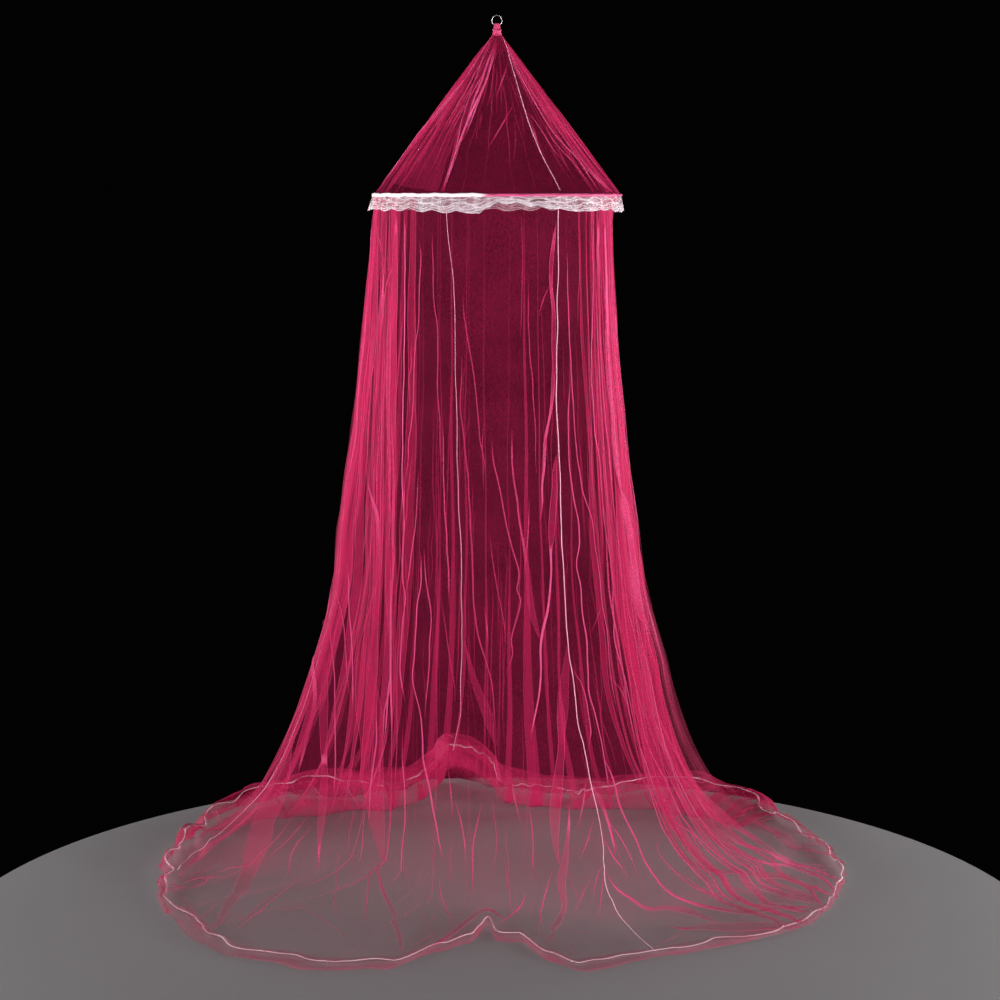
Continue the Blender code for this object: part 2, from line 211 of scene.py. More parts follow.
SKIRT_GATHERS = table(
    GATHER_COLUMNS,
    (-176, -138, 5, 0.001, 0.006, 0.018, 1.4, 0.4, 0, 0),
    (-136, -92, 9, 0.014, 0.022, 0.022, 1.10, 0.8, 0, 0),
    (-86, -53, 9, 0.015, 0.027, 0.013, 0.88, 0.9, 0, 0),
    (-46, -6, 3, 0.001, 0.002, 0.004, 1.0, 0.5, 0, 0),
    (50, 90, 10, 0.018, 0.030, 0.011, 1.75, 0.9, 0, -18),
    (92, 136, 9, 0.014, 0.022, 0.014, 1.60, 0.8, 18, 0),
    (140, 178, 5, 0.001, 0.006, 0.018, 1.4, 0.4, 0, 0),
)
ROOF_GATHERS = table(
    GATHER_COLUMNS,
    (-178, -124, 4, 0.001, 0.002, 0.001, 1.0, 0.3, 0, 0),
    (-122, -90, 6, 0.001, 0.007, 0.003, 1.4, 0.6, 0, 0),
    (-88, -34, 9, 0.001, 0.009, 0.002, 1.1, 0.6, 0, 0),
    (48, 90, 9, 0.001, 0.010, 0.004, 1.4, 0.8, 0, 0),
    (92, 126, 7, 0.001, 0.007, 0.003, 1.4, 0.6, 0, 0),
    (130, 178, 4, 0.001, 0.002, 0.001, 1.0, 0.3, 0, 0),
)
PANELS = table(
    "name start end",
    ("skirt_panel_left", -153.0, -88.0), ("skirt_panel_front", -88.0, 27.0),
    ("skirt_panel_right", 27.0, 117.0), ("skirt_panel_back", 117.0, 207.0),
)
SMALLEST_PLEAT = 0.0010
HEM_LAYERS = 0.12          # how much denser the net is where it lies double along the hem
# The folded hem's edge is made denser and painted paler, a painted highlight.
HEM_EDGE_CREASE_AND_SHEEN = 0.26
BUNCH_START = 0.94         # the bunched train's layers begin at this share of the wall
PLAIN_COLUMN = 0.030       # widest plain column at the hem
WALL_ROWS = 62
WALL_ROW_POWER = 1.25      # rows lie closer together towards the floor
TRAIN_ROWS = 50
BORDER_ROWS = 14
ROOF_ROWS = 50
WIDE_STEP = 0.4            # steps of azimuth and share that a sheet's slope is taken over
LONG_STEP = 0.006
SEED = 11


# ---- Creases, pleats and seams, as read from the photograph ----
# A zone is the stretch of the canopy that a stroke is laid on. Shine is how bright its folded
# edge is made: the net is denser there and painted paler, a painted highlight. A point is its pixel
# across, its pixel down and its width in pixels.
UPPER_STROKES = strokes(
    "front",
    (0.7, (371, 213, 1.5), (369, 240), (367, 262), (366, 300), (362, 330), (358, 380), (356, 430),
     (350, 480, 1.5)),
    (0.6, (378, 214), (381, 240, 2), (384, 262)),
    (0.6, (386, 262), (382, 300, 3), (378, 345, 4), (377, 400, 6), (375, 460, 3)),
    (0.7, (398, 214), (397, 240, 4), (395, 300, 7), (393, 380, 9), (392, 450, 8), (390, 500, 3)),
    (0.9, (405, 214, 1.2), (406, 262, 1.5), (405, 330), (404, 400), (403, 470), (404, 520)),
    (0.6, (396, 255), (388, 285, 1.5), (383, 320), (379, 345)),
    (0.55, (420, 240), (421, 263, 1.6), (419, 326, 1.4), (416, 347), (413, 421, 1.6), (410, 442),
     (407, 480, 1.2)),
    (0.35, (433, 232), (434, 263, 1.6), (435, 305, 1.4), (438, 335, 1.6), (438, 389, 1.4),
     (441, 431, 1.6), (442, 474)),
    ("back", 0.45, (462, 356), (461, 402, 1.6), (465, 442, 2), (468, 480), (470, 504), (471, 533),
     (473, 576, 2.4), (474, 610, 2), (479, 639, 2.4), (487, 666, 2.2), (492, 693), (496, 735)),
    ("back", 0.45, (462, 295), (467, 335, 1.6), (475, 379), (479, 423), (485, 480)),
    (0.3, (528, 284), (529, 347, 1.5), (533, 389), (536, 474)),
    ("back", 0.25, (521, 216), (522, 284, 1.5), (520, 337)),
    (0.6, (556, 222), (553, 240, 3), (551, 263, 4), (551, 290, 3), (553, 330, 4), (553, 360),
     (553, 400, 3), (549, 423, 2), (545, 442, 3), (543, 480, 2), (541, 520)),
    (0.4, (550, 284), (545, 293, 1.5), (541, 304), (538, 316)),
    (0.6, (566, 253), (567, 305, 1.6), (568, 347), (570, 379, 1.8), (573, 421, 1.6), (577, 453),
     (581, 489), (591, 521), (594, 552), (599, 581, 2), (602, 610, 1.8), (607, 639, 1.6), (611, 678),
     (616, 712)),
    (0.75, (570, 379), (568, 421, 1.6), (569, 465), (575, 508, 1.8), (580, 540, 2), (576, 562, 1.6),
     (580, 586, 2), (582, 615, 1.8), (586, 639, 2.2), (587, 666, 2), (589, 693, 1.8), (596, 720),
     (601, 742, 1.6), (603, 758), (606, 776, 1.5), (608, 795)),
    (0.3, (580, 232), (578, 284, 1.5), (577, 326)),
    (0.8, (592, 214), (592, 284, 1.6), (591, 337, 1.8), (591, 379), (594, 432, 2), (599, 465), (603, 520),
     (611, 569, 2.2), (613, 610, 2), (615, 644), (625, 683), (632, 717, 1.6), (644, 760), (656, 800)),
    (0.6, (597, 214, 2), (598, 347, 5), (603, 480, 7), (616, 570, 9), (630, 650, 8), (652, 720, 5),
     (668, 760, 2)),
    (0.7, (603, 214, 1.5), (607, 347, 3), (614, 465), (626, 521), (634, 596), (649, 644, 4), (661, 693),
     (676, 740, 3), (700, 790)),
    (0.75, (610, 211, 1.2), (612, 242, 1.5), (616, 284), (617, 326), (623, 389), (627, 432),
     (633, 480, 1.2), (640, 530)),
    (0.45, (443, 420), (444, 465, 1.8), (445, 508, 2), (447, 545), (449, 576), (449, 605)),
    ("back", 0.4, (441, 596), (445, 620, 1.6), (447, 630), (451, 661), (455, 702)),
    ("back", 0.35, (483, 420), (483, 465, 1.6), (484, 491)),
    (0.4, (492, 440), (494, 465, 1.6), (501, 494), (506, 521), (513, 552, 1.8), (519, 576),
     (517, 591, 1.6), (521, 598), (518, 615), (511, 639), (513, 654, 1.4), (506, 673)),
    ("back", 0.35, (490, 535), (492, 557, 1.6), (496, 581), (501, 605), (505, 630), (506, 645)),
    (0.4, (511, 430), (513, 465, 1.6), (517, 504), (522, 540, 2), (526, 567, 4), (531, 605, 6),
     (536, 625, 5), (541, 640)),
    (0.45, (529, 499), (527, 540, 1.8), (523, 576)),
    ("back", 0.35, (543, 420), (542, 465, 1.6), (540, 521)),
    (0.7, (556, 455, 2), (555, 480, 5), (553, 510, 7), (551, 535, 6), (550, 552, 2), (551, 576, 1.6),
     (548, 605, 2), (542, 630, 2.6), (540, 649, 2), (541, 668, 1.6), (539, 693), (535, 717, 1.4),
     (531, 740)),
    (0.5, (603, 600), (597, 615, 1.6), (591, 632)),
    (0.45, (608, 673), (615, 684, 1.5), (622, 693), (630, 717)),
    (0.5, (483, 606), (487, 630, 1.8), (488, 646)),
    (0.3, (465, 640), (472, 670, 5), (479, 693, 8), (489, 720, 10), (497, 745, 3)),
)
MIDDLE_STROKES = strokes(
    "front",
    (0.6, (368, 470), (374, 500, 2), (380, 533, 3), (378, 596, 4), (376, 661, 9), (370, 702, 12),
     (366, 720, 3)),
    (0.7, (397, 465), (393, 520, 2), (392, 569, 2.2), (391, 610), (391, 654), (388, 700, 2.6),
     (384, 745, 1.2)),
    (0.65, (404, 475), (404, 521, 1.8), (403, 576), (407, 596), (404, 615), (402, 635), (401, 678),
     (406, 702, 1.2)),
    (0.5, (410, 455), (404, 491)),
    (0.6, (419, 470), (417, 521, 2), (411, 557), (406, 596, 1.2)),
    (0.7, (421, 552), (423, 564, 1.8), (418, 610), (415, 654), (414, 678), (419, 702), (422, 720, 2),
     (423, 740, 2.4), (425, 761, 3), (431, 791, 3.2), (437, 823, 2.6), (440, 844, 2), (445, 861)),
    (0.5, (425, 548), (426, 581, 1.6), (431, 615), (429, 666), (425, 717)),
    (0.6, (336, 570), (334, 630, 2), (336, 678), (335, 717), (336, 760), (334, 800)),
    (0.75, (348, 560), (349, 591, 1.6), (351, 630, 1.8), (353, 654), (352, 678), (356, 705, 2),
     (353, 712)),
    (0.5, (342, 560), (345, 630, 1.8), (346, 666), (351, 697)),
    (0.5, (326, 620), (322, 666, 2), (317, 700, 3), (311, 723, 4), (304, 753, 3), (298, 775)),
    (0.65, (326, 660, 3), (325, 703, 10), (324, 736, 8), (325, 760, 2), (324, 781, 9), (322, 800, 8),
     (321, 823, 7), (320, 845, 3), (318, 871)),
    (0.7, (362, 640, 6), (365, 670, 18), (368, 700, 28), (371, 727, 26), (372, 760, 22), (374, 789, 20),
     (378, 825, 14), (381, 850, 6), (382, 866, 1.5)),
    (0.6, (377, 862), (382, 887, 3), (391, 909, 4), (398, 929, 4.5), (402, 952, 2)),
    (0.25, (382, 725, 3), (368, 743, 6), (354, 760, 7), (339, 786, 5)),
    (0.5, (298, 730, 2), (290, 757, 10), (282, 785, 16), (273, 805, 18), (264, 822, 20), (259, 840, 24),
     (253, 858, 19), (246, 877, 13), (234, 899, 11), (220, 920, 4), (212, 934)),
    (0.35, (309, 816), (289, 839, 1.8), (266, 861)),
    (0.35, (313, 825), (298, 843, 1.8), (291, 857, 2.4), (286, 880)),
    (0.45, (300, 879), (279, 896, 2), (250, 920), (234, 931)),
    (0.35, (286, 887), (261, 905, 1.8), (236, 926)),
    (0.5, (222, 876), (196, 880, 3), (178, 888, 1.5)),
    (0.5, (371, 866), (368, 888, 2), (366, 911), (363, 922)),
    (0.4, (226, 900), (209, 911, 2), (203, 921)),
    (0.45, (183, 899, 1.5), (190, 913, 8), (202, 927, 12), (215, 938, 2)),
    (0.25, (341, 850), (335, 890, 1.6), (338, 920)),
    (0.2, (355, 800), (350, 840, 1.5), (354, 866)),
    (0.2, (300, 905), (330, 925, 1.5), (350, 940)),
    (0.35, (304, 745, 5), (287, 773, 10), (266, 798, 13), (240, 821), (215, 842, 10), (193, 862, 6),
     (181, 876, 2)),
    (0.5, (212, 809, 1.5), (212, 818, 6), (214, 829, 8), (220, 839, 3)),
    (0.5, (174, 862, 2), (167, 876, 5), (163, 890, 7), (165, 905, 4), (171, 917, 1.5)),
    (0.55, (428, 950, 1.5), (443, 941, 3), (457, 930, 4.5), (470, 920, 5), (481, 912, 4), (492, 912, 3),
     (500, 917, 2), (506, 922)),
    (0.7, (526, 893), (524, 902, 2.4), (517, 910, 3), (508, 918), (499, 925, 1.5)),
    (0.5, (449, 768), (451, 790, 2), (452, 804, 1.8), (453, 816)),
)
FLOOR_STROKES = strokes(
    "front",
    (0.45, (455, 800), (461, 820, 2), (465, 843, 2.4), (466, 864)),
    (0.45, (481, 803), (476, 828, 2), (474, 844, 2.2), (473, 869, 2), (472, 890)),
    (0.45, (511, 772), (513, 791, 2), (517, 809, 1.6), (521, 822)),
    (0.35, (528, 800), (532, 828, 1.8), (534, 846, 2), (533, 864, 1.8), (538, 881)),
    (0.35, (506, 862), (508, 886, 1.6), (514, 894)),
    (0.4, (440, 877), (441, 894, 2), (450, 916), (455, 927)),
    (0.35, (422, 912), (430, 932)),
    (0.25, (410, 800), (404, 850, 1.6), (410, 890)),
    (0.2, (492, 800), (497, 835, 1.6), (494, 870)),
    (0.8, (559, 690, 3), (561, 720, 9), (561, 740, 6), (560, 765, 8), (556, 795, 11), (555, 822, 10),
     (556, 846, 5), (560, 864, 1.5)),
    (0.7, (570, 803), (569, 826, 2.5), (566, 851, 5), (564, 868, 8), (562, 878, 9), (563, 894, 7),
     (564, 908, 5), (558, 924, 6), (547, 943, 4)),
    (0.4, (567, 645, 2), (565, 680, 9), (563, 717, 10), (562, 745, 4)),
    (0.6, (571, 666), (583, 693, 2), (588, 720), (590, 735), (586, 752, 1.2)),
    (0.6, (586, 774), (583, 803, 2.2), (578, 830)),
    (0.75, (590, 783, 2), (600, 801, 4), (607, 820, 2.6), (612, 839, 2.2), (616, 860)),
    (0.6, (606, 818), (617, 833, 2), (629, 853, 1.8), (638, 875)),
    (0.7, (601, 834), (612, 857, 2.4), (620, 866, 1.8), (628, 879)),
    (0.45, (594, 818), (586, 843, 2), (579, 860)),
    (0.6, (602, 755), (612, 778, 1.8), (619, 803), (629, 826), (643, 856), (647, 866, 2), (664, 889, 2.6),
     (680, 899, 2.4), (700, 906, 3), (721, 910, 3.4), (745, 913, 4), (779, 909), (814, 908, 1.5)),
    (0.5, (602, 862), (597, 879, 2), (593, 900)),
    (0.4, (603, 866), (601, 894, 2), (599, 921)),
    (0.5, (554, 868), (546, 896, 2.6), (541, 916, 2), (537, 936)),
    (0.35, (591, 877), (582, 896, 1.8), (575, 912)),
    (0.7, (606, 872), (616, 889, 2.2), (631, 899, 3), (647, 909, 3.4), (664, 908, 4), (686, 911, 6),
     (716, 923, 2)),
    (0.4, (655, 838), (659, 854, 1.8), (674, 871, 2.4), (693, 887, 2.2), (719, 899, 2), (742, 910)),
    (0.4, (674, 871), (686, 878, 1.8), (700, 889), (721, 896), (747, 905)),
    (0.7, (661, 790), (664, 813, 5), (668, 832, 6), (674, 844, 5), (680, 856, 3.4), (700, 868, 4),
     (721, 873, 4.4), (738, 872, 4), (762, 876, 5), (788, 878, 6), (802, 885, 4), (814, 896, 3),
     (823, 912, 1.5)),
    (0.7, (664, 808), (676, 825, 2.4), (690, 832, 2.6), (700, 854), (712, 862)),
    (0.6, (674, 823), (686, 847, 2), (684, 854)),
    (0.6, (688, 851), (702, 863, 2.2), (719, 872)),
    (0.7, (690, 805), (702, 823, 3), (717, 844, 3.4), (733, 861, 2.6), (742, 867, 2), (764, 871)),
    (0.65, (670, 780, 2), (686, 809, 4), (710, 837), (736, 851, 3.4), (762, 863, 3), (788, 866),
     (814, 875), (828, 884, 2.6), (837, 900)),
    (0.6, (690, 790, 2), (717, 827, 4), (738, 844, 3), (762, 851), (788, 863, 2.6), (814, 870),
     (842, 884, 1.2)),
    (0.65, (685, 778, 3), (710, 813, 6), (745, 834, 5), (776, 854, 4), (802, 867, 1.4)),
    (0.7, (680, 765, 4), (697, 792, 8), (728, 820, 6), (741, 830, 4), (762, 844, 1.4)),
    (0.45, (666, 925), (680, 930, 2), (700, 928, 5), (721, 928, 8), (745, 928, 8.5), (771, 927, 7),
     (794, 929, 1.2)),
    (0.35, (684, 930), (673, 940, 1.8), (653, 947)),
    (0.4, (745, 885), (771, 890, 2), (788, 896, 2.4), (806, 892)),
    (0.3, (655, 720, 8), (671, 754, 14), (686, 789, 12), (702, 808, 3)),
    (0.3, (720, 885), (746, 893, 1.8), (770, 903)),
    (0.4, (750, 820), (775, 838, 3), (800, 850), (822, 864)),
    (0.4, (740, 842), (770, 856, 2.4), (800, 872, 2), (826, 893)),
)
ROOF_STROKES = strokes(
    "roof",
    (0.9, (495, 33, 1.5), (480, 54, 2), (465, 81), (455, 90, 1.8), (436, 117), (417, 136, 1.6),
     (395, 167), (378, 192, 1.4)),
    (0.7, (494, 35), (484, 48, 2), (470, 75), (459, 86, 1.8), (442, 110), (423, 133)),
    (0.5, (490, 48), (472, 79, 2.4), (463, 96, 2), (442, 132)),
    (0.5, (488, 58), (474, 86, 2.4), (465, 107, 2), (445, 131)),
    (0.5, (489, 64), (469, 102, 2.6), (457, 123, 2), (446, 145)),
    (0.8, (495, 40, 4), (487, 66, 8), (478, 89, 9), (469, 113, 7.5), (460, 139, 6), (451, 168, 3),
     (443, 192, 1.5)),
    (1.0, (495, 44, 1.5), (484, 83, 2), (472, 111, 2.2), (461, 140, 2), (454, 159), (444, 192, 1.6)),
    (0.8, (503, 40, 2), (516, 60, 4), (528, 83, 5), (543, 106), (560, 132, 4), (580, 161), (599, 182, 3),
     (611, 193, 1.5)),
    (0.8, (503, 42), (513, 63, 2), (528, 92, 2.4), (541, 116, 2), (558, 140), (580, 163),
     (597, 191, 1.2)),
    (0.5, (515, 84), (524, 90, 1.5), (534, 96)),
    (0.6, (525, 110), (537, 125, 2), (553, 150, 1.8), (563, 162)),
    (0.6, (526, 118), (534, 134, 1.8), (539, 153)),
    (0.5, (541, 118), (553, 142, 2), (576, 167, 1.8), (595, 192)),
    (0.6, (566, 142), (589, 171, 2), (606, 192)),
    (0.5, (508, 64), (501, 81, 2), (496, 99)),
    (0.4, (513, 105), (499, 129, 2), (488, 149)),
    (0.25, (493, 62), (492, 86, 1.6), (488, 107)),
    (0.2, (513, 122), (516, 142, 1.4), (514, 160)),
    (0.25, (420, 150), (408, 168, 1.8), (404, 186)),
    (0.75, (490, 44), (483, 61, 2.2), (475, 82, 2.4), (469, 102), (463, 122, 2.2), (458, 143, 1.6),
     (452, 163)),
    (0.7, (495, 42), (488, 61, 2.4), (480, 82), (473, 102), (467, 122, 2.2), (461, 143, 1.2)),
    (0.7, (497, 44), (492, 61, 2.2), (485, 82), (478, 102), (471, 121, 1.8), (464, 140)),
    (0.12, (463, 115, 10), (445, 138, 24), (428, 163, 36), (413, 195, 48)),
)
SEAM_ROUTES = strokes(
    "front",
    ("back", 0.9, (447, 208, 1.4), (449, 240), (454, 288), (456, 356, 1.5), (457, 423, 1.6), (458, 480),
     (460, 521, 1.8), (462, 569), (462, 654), (460, 713), (457, 728), (452, 752, 2)),
    (1.0, (557, 208, 1.6), (557, 257, 1.9), (556, 284), (556, 354), (556, 410), (558, 453), (560, 503, 2),
     (561, 533), (563, 569, 2.1), (565, 605), (568, 639), (571, 666), (575, 693), (577, 720),
     (582, 742, 2.2), (586, 762, 2.4), (590, 783), (595, 806, 2), (600, 833, 1.9), (604, 853), (603, 869),
     (607, 889), (616, 909), (629, 930), (646, 946), (655, 953, 1.9)),
    (0.8, (349, 478, 0.6), (346, 500, 1.1), (341, 523, 1.4), (336, 569, 1.6), (325, 630), (315, 661, 1.8),
     (301, 712, 2), (287, 752, 2.2), (272, 775, 2.4), (262, 791), (244, 814), (222, 834), (201, 850, 2.2),
     (189, 858, 2), (178, 871, 2)),
    ("roof", 1.0, (502, 39, 1.2), (506, 54, 1.4), (510, 67, 1.6), (516, 86, 1.7), (526, 117),
     (538, 148, 1.8), (559, 192, 1.7)),
)
# Loose creases, here and on the roof, get a shine too: denser net, and a painted highlight where the
# shine is high.
LOOSE_CREASES = table(
    "start end high low count length width shine",
    (-44, 48, 0.15, 0.65, 16, 0.24, 0.0022, 0.10),
    (-48, 50, 0.50, 1.00, 26, 0.20, 0.0024, 0.14),
    (-60, 60, 1.10, 1.80, 24, 0.12, 0.0024, 0.12),
    (136, 224, 0.12, 0.60, 26, 0.25, 0.0026, 0.12),
    (136, 224, 0.45, 1.00, 36, 0.25, 0.0028, 0.16),
    (50, 136, 0.03, 0.38, 44, 0.36, 0.0032, 0.60),
    (46, 66, 0.40, 0.95, 16, 0.36, 0.0032, 0.60),
    (112, 136, 0.40, 0.95, 14, 0.36, 0.0032, 0.60),
    (-136, -46, 0.03, 0.92, 80, 0.34, 0.0032, 0.60),
    (50, 110, 1.05, 1.90, 40, 0.35, 0.0034, 0.40),
    (-150, -76, 1.00, 1.95, 70, 0.30, 0.0040, 0.50),
    (120, 240, 1.00, 2.80, 150, 0.26, 0.0056, 0.75),
    (88, 140, 1.00, 1.95, 46, 0.40, 0.0036, 0.45),
)
ROOF_CREASES = table(
    "start end high low count length width shine",
    (-96, -30, 0.02, 0.60, 22, 0.30, 0.0024, 0.40),
    (34, 100, 0.02, 0.70, 22, 0.40, 0.0024, 0.40),
    (-24, 28, 0.05, 0.45, 6, 0.15, 0.0022, 0.12),
    (100, 140, 0.02, 0.80, 16, 0.35, 0.0024, 0.35),
    (140, 220, 0.02, 0.50, 10, 0.20, 0.0022, 0.12),
    (220, 264, 0.02, 0.80, 16, 0.35, 0.0024, 0.35),
)


# ---- Round-the-canopy arithmetic ----
def wrap(degrees):
    return (degrees + 180.0) % 360.0 - 180.0


def ease(share):
    return share * share * (3.0 - 2.0 * share)


def field(rows, name):
    return np.array([getattr(row, name) for row in rows], float)


def around(rows, azimuth, name):
    """A table's column at azimuths, eased from each row to the next, all round."""
    starts = np.array([row[0] for row in rows], float)
    values = field(rows, name)
    turned = wrap(azimuth)
    low = np.searchsorted(starts, turned, side="right") - 1
    high = (low + 1) % len(rows)
    share = ((turned - starts[low]) % 360.0) / ((starts[high] - starts[low]) % 360.0)
    step = values[high] - values[low]
    if name.endswith("azimuth"):
        step = wrap(step)
    return values[low] + ease(share) * step


def ridge(folds, azimuth):
    total = np.zeros_like(azimuth)
    for fold in folds:
        offset = wrap(azimuth - fold.azimuth) / fold.half_width
        total += fold.depth * np.cos(0.5 * math.pi * np.clip(offset, -1, 1)) ** 2
    return total


def dot(first, second):
    return (first * second).sum(-1)


def unit(vectors):
    return vectors / np.maximum(np.linalg.norm(vectors, axis=-1, keepdims=True), 1e-9)


def polar(azimuth, radius, height):
    angle = np.radians(azimuth)
    return np.stack([radius * np.sin(angle), -radius * np.cos(angle), height - HANG_HEIGHT], -1)


def swelling(azimuth, share):
    """Uneven softness of cloth, from -1 to 1."""
    angle = np.radians(azimuth)
    first = np.sin(13 * angle + 9.0 * share + 1.3) * np.sin(5 * angle - 14.0 * share)
    second = np.sin(29 * angle - 19.0 * share + 0.7) * np.sin(11 * angle + 23.0 * share + 2.0)
    third = np.sin(43 * angle + 37.0 * share)
    return 0.50 * first + 0.35 * second + 0.15 * third


def skirt_surface(azimuth, share, relief=1.0):
    """Skirt at a hoop azimuth: share 0 to 1 falls to the floor, 1 to 2 runs out to the hem's
    fold, and 2 to 3 comes back over it as the hem's border. Relief 0 leaves its folds out."""
    wall = np.clip(share, 0.0, 1.0)
    out = np.clip(share - 1.0, 0.0, 1.0)
    back = np.clip(share - 2.0, 0.0, 1.0)
    foot_radius = around(SECTIONS, azimuth, "foot_radius")
    foot_azimuth = around(SECTIONS, azimuth, "foot_azimuth")
    lean = around(SECTIONS, azimuth, "lean")
    fluff = around(SWELLS, azimuth, "fluff")
    lobe = around(SWELLS, azimuth, "lobe")
    angle = np.radians(foot_azimuth)
    facing = np.cos(np.radians(azimuth))
    side = np.sin(np.radians(azimuth)) ** 2
    fold = relief * ridge(SKIRT_FOLDS, azimuth)
    puff = lobe * np.abs(np.sin(LOBES * angle + 0.8 * np.sin(4.0 * angle)))

    # How far out: down the wall, over the floor to the hem, and back along the border
    length = around(HEM, foot_azimuth, "radius") - foot_radius - fold
    reach = around(BORDERS, foot_azimuth, "width") / np.maximum(length, SHORTEST_TRAIN)
    train = 1.0 - (1.0 - out) ** (1.0 + SIDE_RUNOUT * side) - back * np.minimum(reach, BORDER_MOST)
    inside = np.clip(train, 0.0, 1.0)
    swell = relief * swelling(azimuth, wall + np.where(share > 1.0, train, 0.0))
    spread = lean * wall + (1.0 - lean) * wall ** SWEEP_POWER
    fold_share = FOLD_SHARE_AT_HOOP + (1.0 - FOLD_SHARE_AT_HOOP) * wall
    radius = HOOP_RADIUS + (foot_radius - HOOP_RADIUS) * spread + fold_share * fold
    radius += around(SWELLS, azimuth, "wall") * swell * np.sin(math.pi * wall) ** 0.5
    loops = np.sin(FULL_TURN * (2.0 * out + 0.35 * np.sin(np.radians(7.0 * azimuth))))
    radius += length * (train + LOOP_DEPTH * fluff * loops * np.sin(math.pi * out))
    for flank in ("left", "right"):
        drawn = np.interp(wall, field(DRAWN_ROWS, "share"), field(DRAWN_ROWS, flank))
        radius -= around(DRAWN_IN, azimuth, flank) * drawn * (1.0 - out)
    ripple = np.sin(23 * angle + 2.0 * np.sin(7 * angle)) + 0.5 * np.sin(53 * angle + 1.0)
    radius += HEM_RIPPLE * ripple * out ** 4 + (puff - 0.5 * lobe) * out ** 2

    # How high: the wall turns softly onto the floor, and the train bunches up on it
    drop = SKIRT_TOP * (1.0 - np.minimum(share, 2.0))
    front = np.clip(facing + 0.3, 0.0, 1.0)
    aside = side * np.clip(1.0 + 2.0 * facing, 0.0, 1.0)
    rounding = BACK_ROUNDING + FRONT_ROUNDING * front + SIDE_ROUNDING * aside
    height = 0.5 * (drop + np.hypot(drop, rounding * wall)) + TRAIN_LIFT
    height += around(SECTIONS, azimuth, "bunch") * np.sin(math.pi * inside) ** (1.0 - 0.45 * fluff)
    height += FOLD_RISE_ON_FLOOR * fold * inside * (1.0 - inside) ** 0.5
    height += around(SWELLS, azimuth, "train") * (0.5 + 0.5 * swell) * np.minimum(out * 6.0, 1.0)
    height += around(BORDERS, foot_azimuth, "rise") * np.minimum(back * 4.0, 1.0)
    height += 0.5 * puff * np.sin(math.pi * inside) ** 0.5
    from_knot = wrap(azimuth - KNOT_AZIMUTH)
    knot_width = np.where(from_knot < 0.0, KNOT_RIGHT_WIDTH, KNOT_LEFT_WIDTH)
    knot = KNOT_HEIGHT * np.exp(-(from_knot / knot_width) ** 2)
    height += knot * (wall ** 6 * (1.0 - inside) ** 0.5 + KNOT_ON_FLOOR * np.sin(math.pi * inside))
    turned = azimuth + wrap(foot_azimuth - azimuth) * wall
    return polar(turned, radius, height)


def calm_skirt(azimuth, share):
    return skirt_surface(azimuth, share, 0.0)


def roof_surface(azimuth, share):
    """Roof from the neck (share 0) to the hoop (share 1)."""
    top = NECK_BOTTOM - SEAM_GAP
    bottom = HOOP_HEIGHT + HOOP_ROD_RADIUS + SEAM_GAP
    bow = 4.0 * share * (1.0 - share)
    radius = ROOF_TOP_RADIUS + (HOOP_RADIUS - ROOF_TOP_RADIUS) * share
    radius = radius + bow * (ridge(ROOF_FOLDS, azimuth) - around(ROOF_SAG, azimuth, "depth"))
    return polar(azimuth, radius, top + (bottom - top) * share)


# ---- Pleated sheets ----
Pleat = namedtuple("Pleat", "azimuth drift lean hoop_width mid_width foot_width reach crease"
                            " wobble phase flip")


def gathered_pleats(gathers, draw):
    """Pleats of each gathered stretch, uneven in place and size."""
    pleats = []
    for gather in gathers:
        pitch = (gather.end - gather.start) / gather.count
        for index in range(gather.count):
            azimuth = gather.start + pitch * (index + 0.5 + draw.uniform(-0.22, 0.22))
            scale = draw.uniform(0.55, 1.45)
            pleats.append(Pleat(
                azimuth=azimuth,
                drift=draw.uniform(-1.2, 1.2),
                lean=np.interp(azimuth, (gather.start, gather.end),
                               (gather.start_lean, gather.end_lean)),
                hoop_width=gather.hoop_width * scale,
                mid_width=gather.mid_width * scale * draw.uniform(0.7, 1.3),
                foot_width=gather.foot_width * scale * draw.uniform(0.4, 1.6),
                reach=gather.reach + draw.uniform(-0.12, 0.12),
                crease=gather.crease * draw.uniform(0.5, 1.0),
                wobble=draw.uniform(0.0015, 0.0045),
                phase=draw.uniform(0.0, FULL_TURN),
                flip=draw.choice((-1.0, 1.0)),
            ))
    return sorted(pleats, key=lambda pleat: pleat.azimuth)


def pleat_width(pleat, share):
    """Width down a pleat: through its three stated widths, then closing at its reach."""
    width = np.interp(share, (0.0, 0.55, 1.0), (pleat.hoop_width, pleat.mid_width, pleat.foot_width))
    closing = np.clip((pleat.reach - share) / 0.28, 0.0, 1.0)
    return np.maximum(width * ease(closing), SMALLEST_PLEAT)


def pleat_columns(pleat, share, metres):
    """Azimuth, lift and crease value of each column across one pleat, down all its rows: denser net and a
    painted highlight at its folded edges.
    """
    waves = np.sin(9.0 * share + pleat.phase) + 0.6 * np.sin(23.0 * share + 2.3 * pleat.phase)
    wander = pleat.wobble * waves * np.minimum(share * 5, 1) / metres
    centre = pleat.azimuth + pleat.drift * share + wander
    centre += pleat.lean * ease(np.clip((share - LEAN_START) / LEAN_SPAN, 0.0, 1.0))
    width = pleat_width(pleat, share)
    half = 0.5 * width / metres
    inset = np.minimum(CREASE_WIDTH, 0.35 * width) / metres
    gap = PLEAT_LAYER_GAP * np.clip(width / 0.012, 0.15, 1.0)
    fading = np.clip((width - SMALLEST_PLEAT) / 0.005, 0.0, 1.0)
    columns = []
    for station in PLEAT_SECTION:
        across = station.across * half - np.sign(station.across) * station.inset * inset
        crease = station.crease if station.crease < 0.5 else station.crease * pleat.crease
        columns.append((centre + across, pleat.flip * station.lift * gap, crease * fading))
    return columns


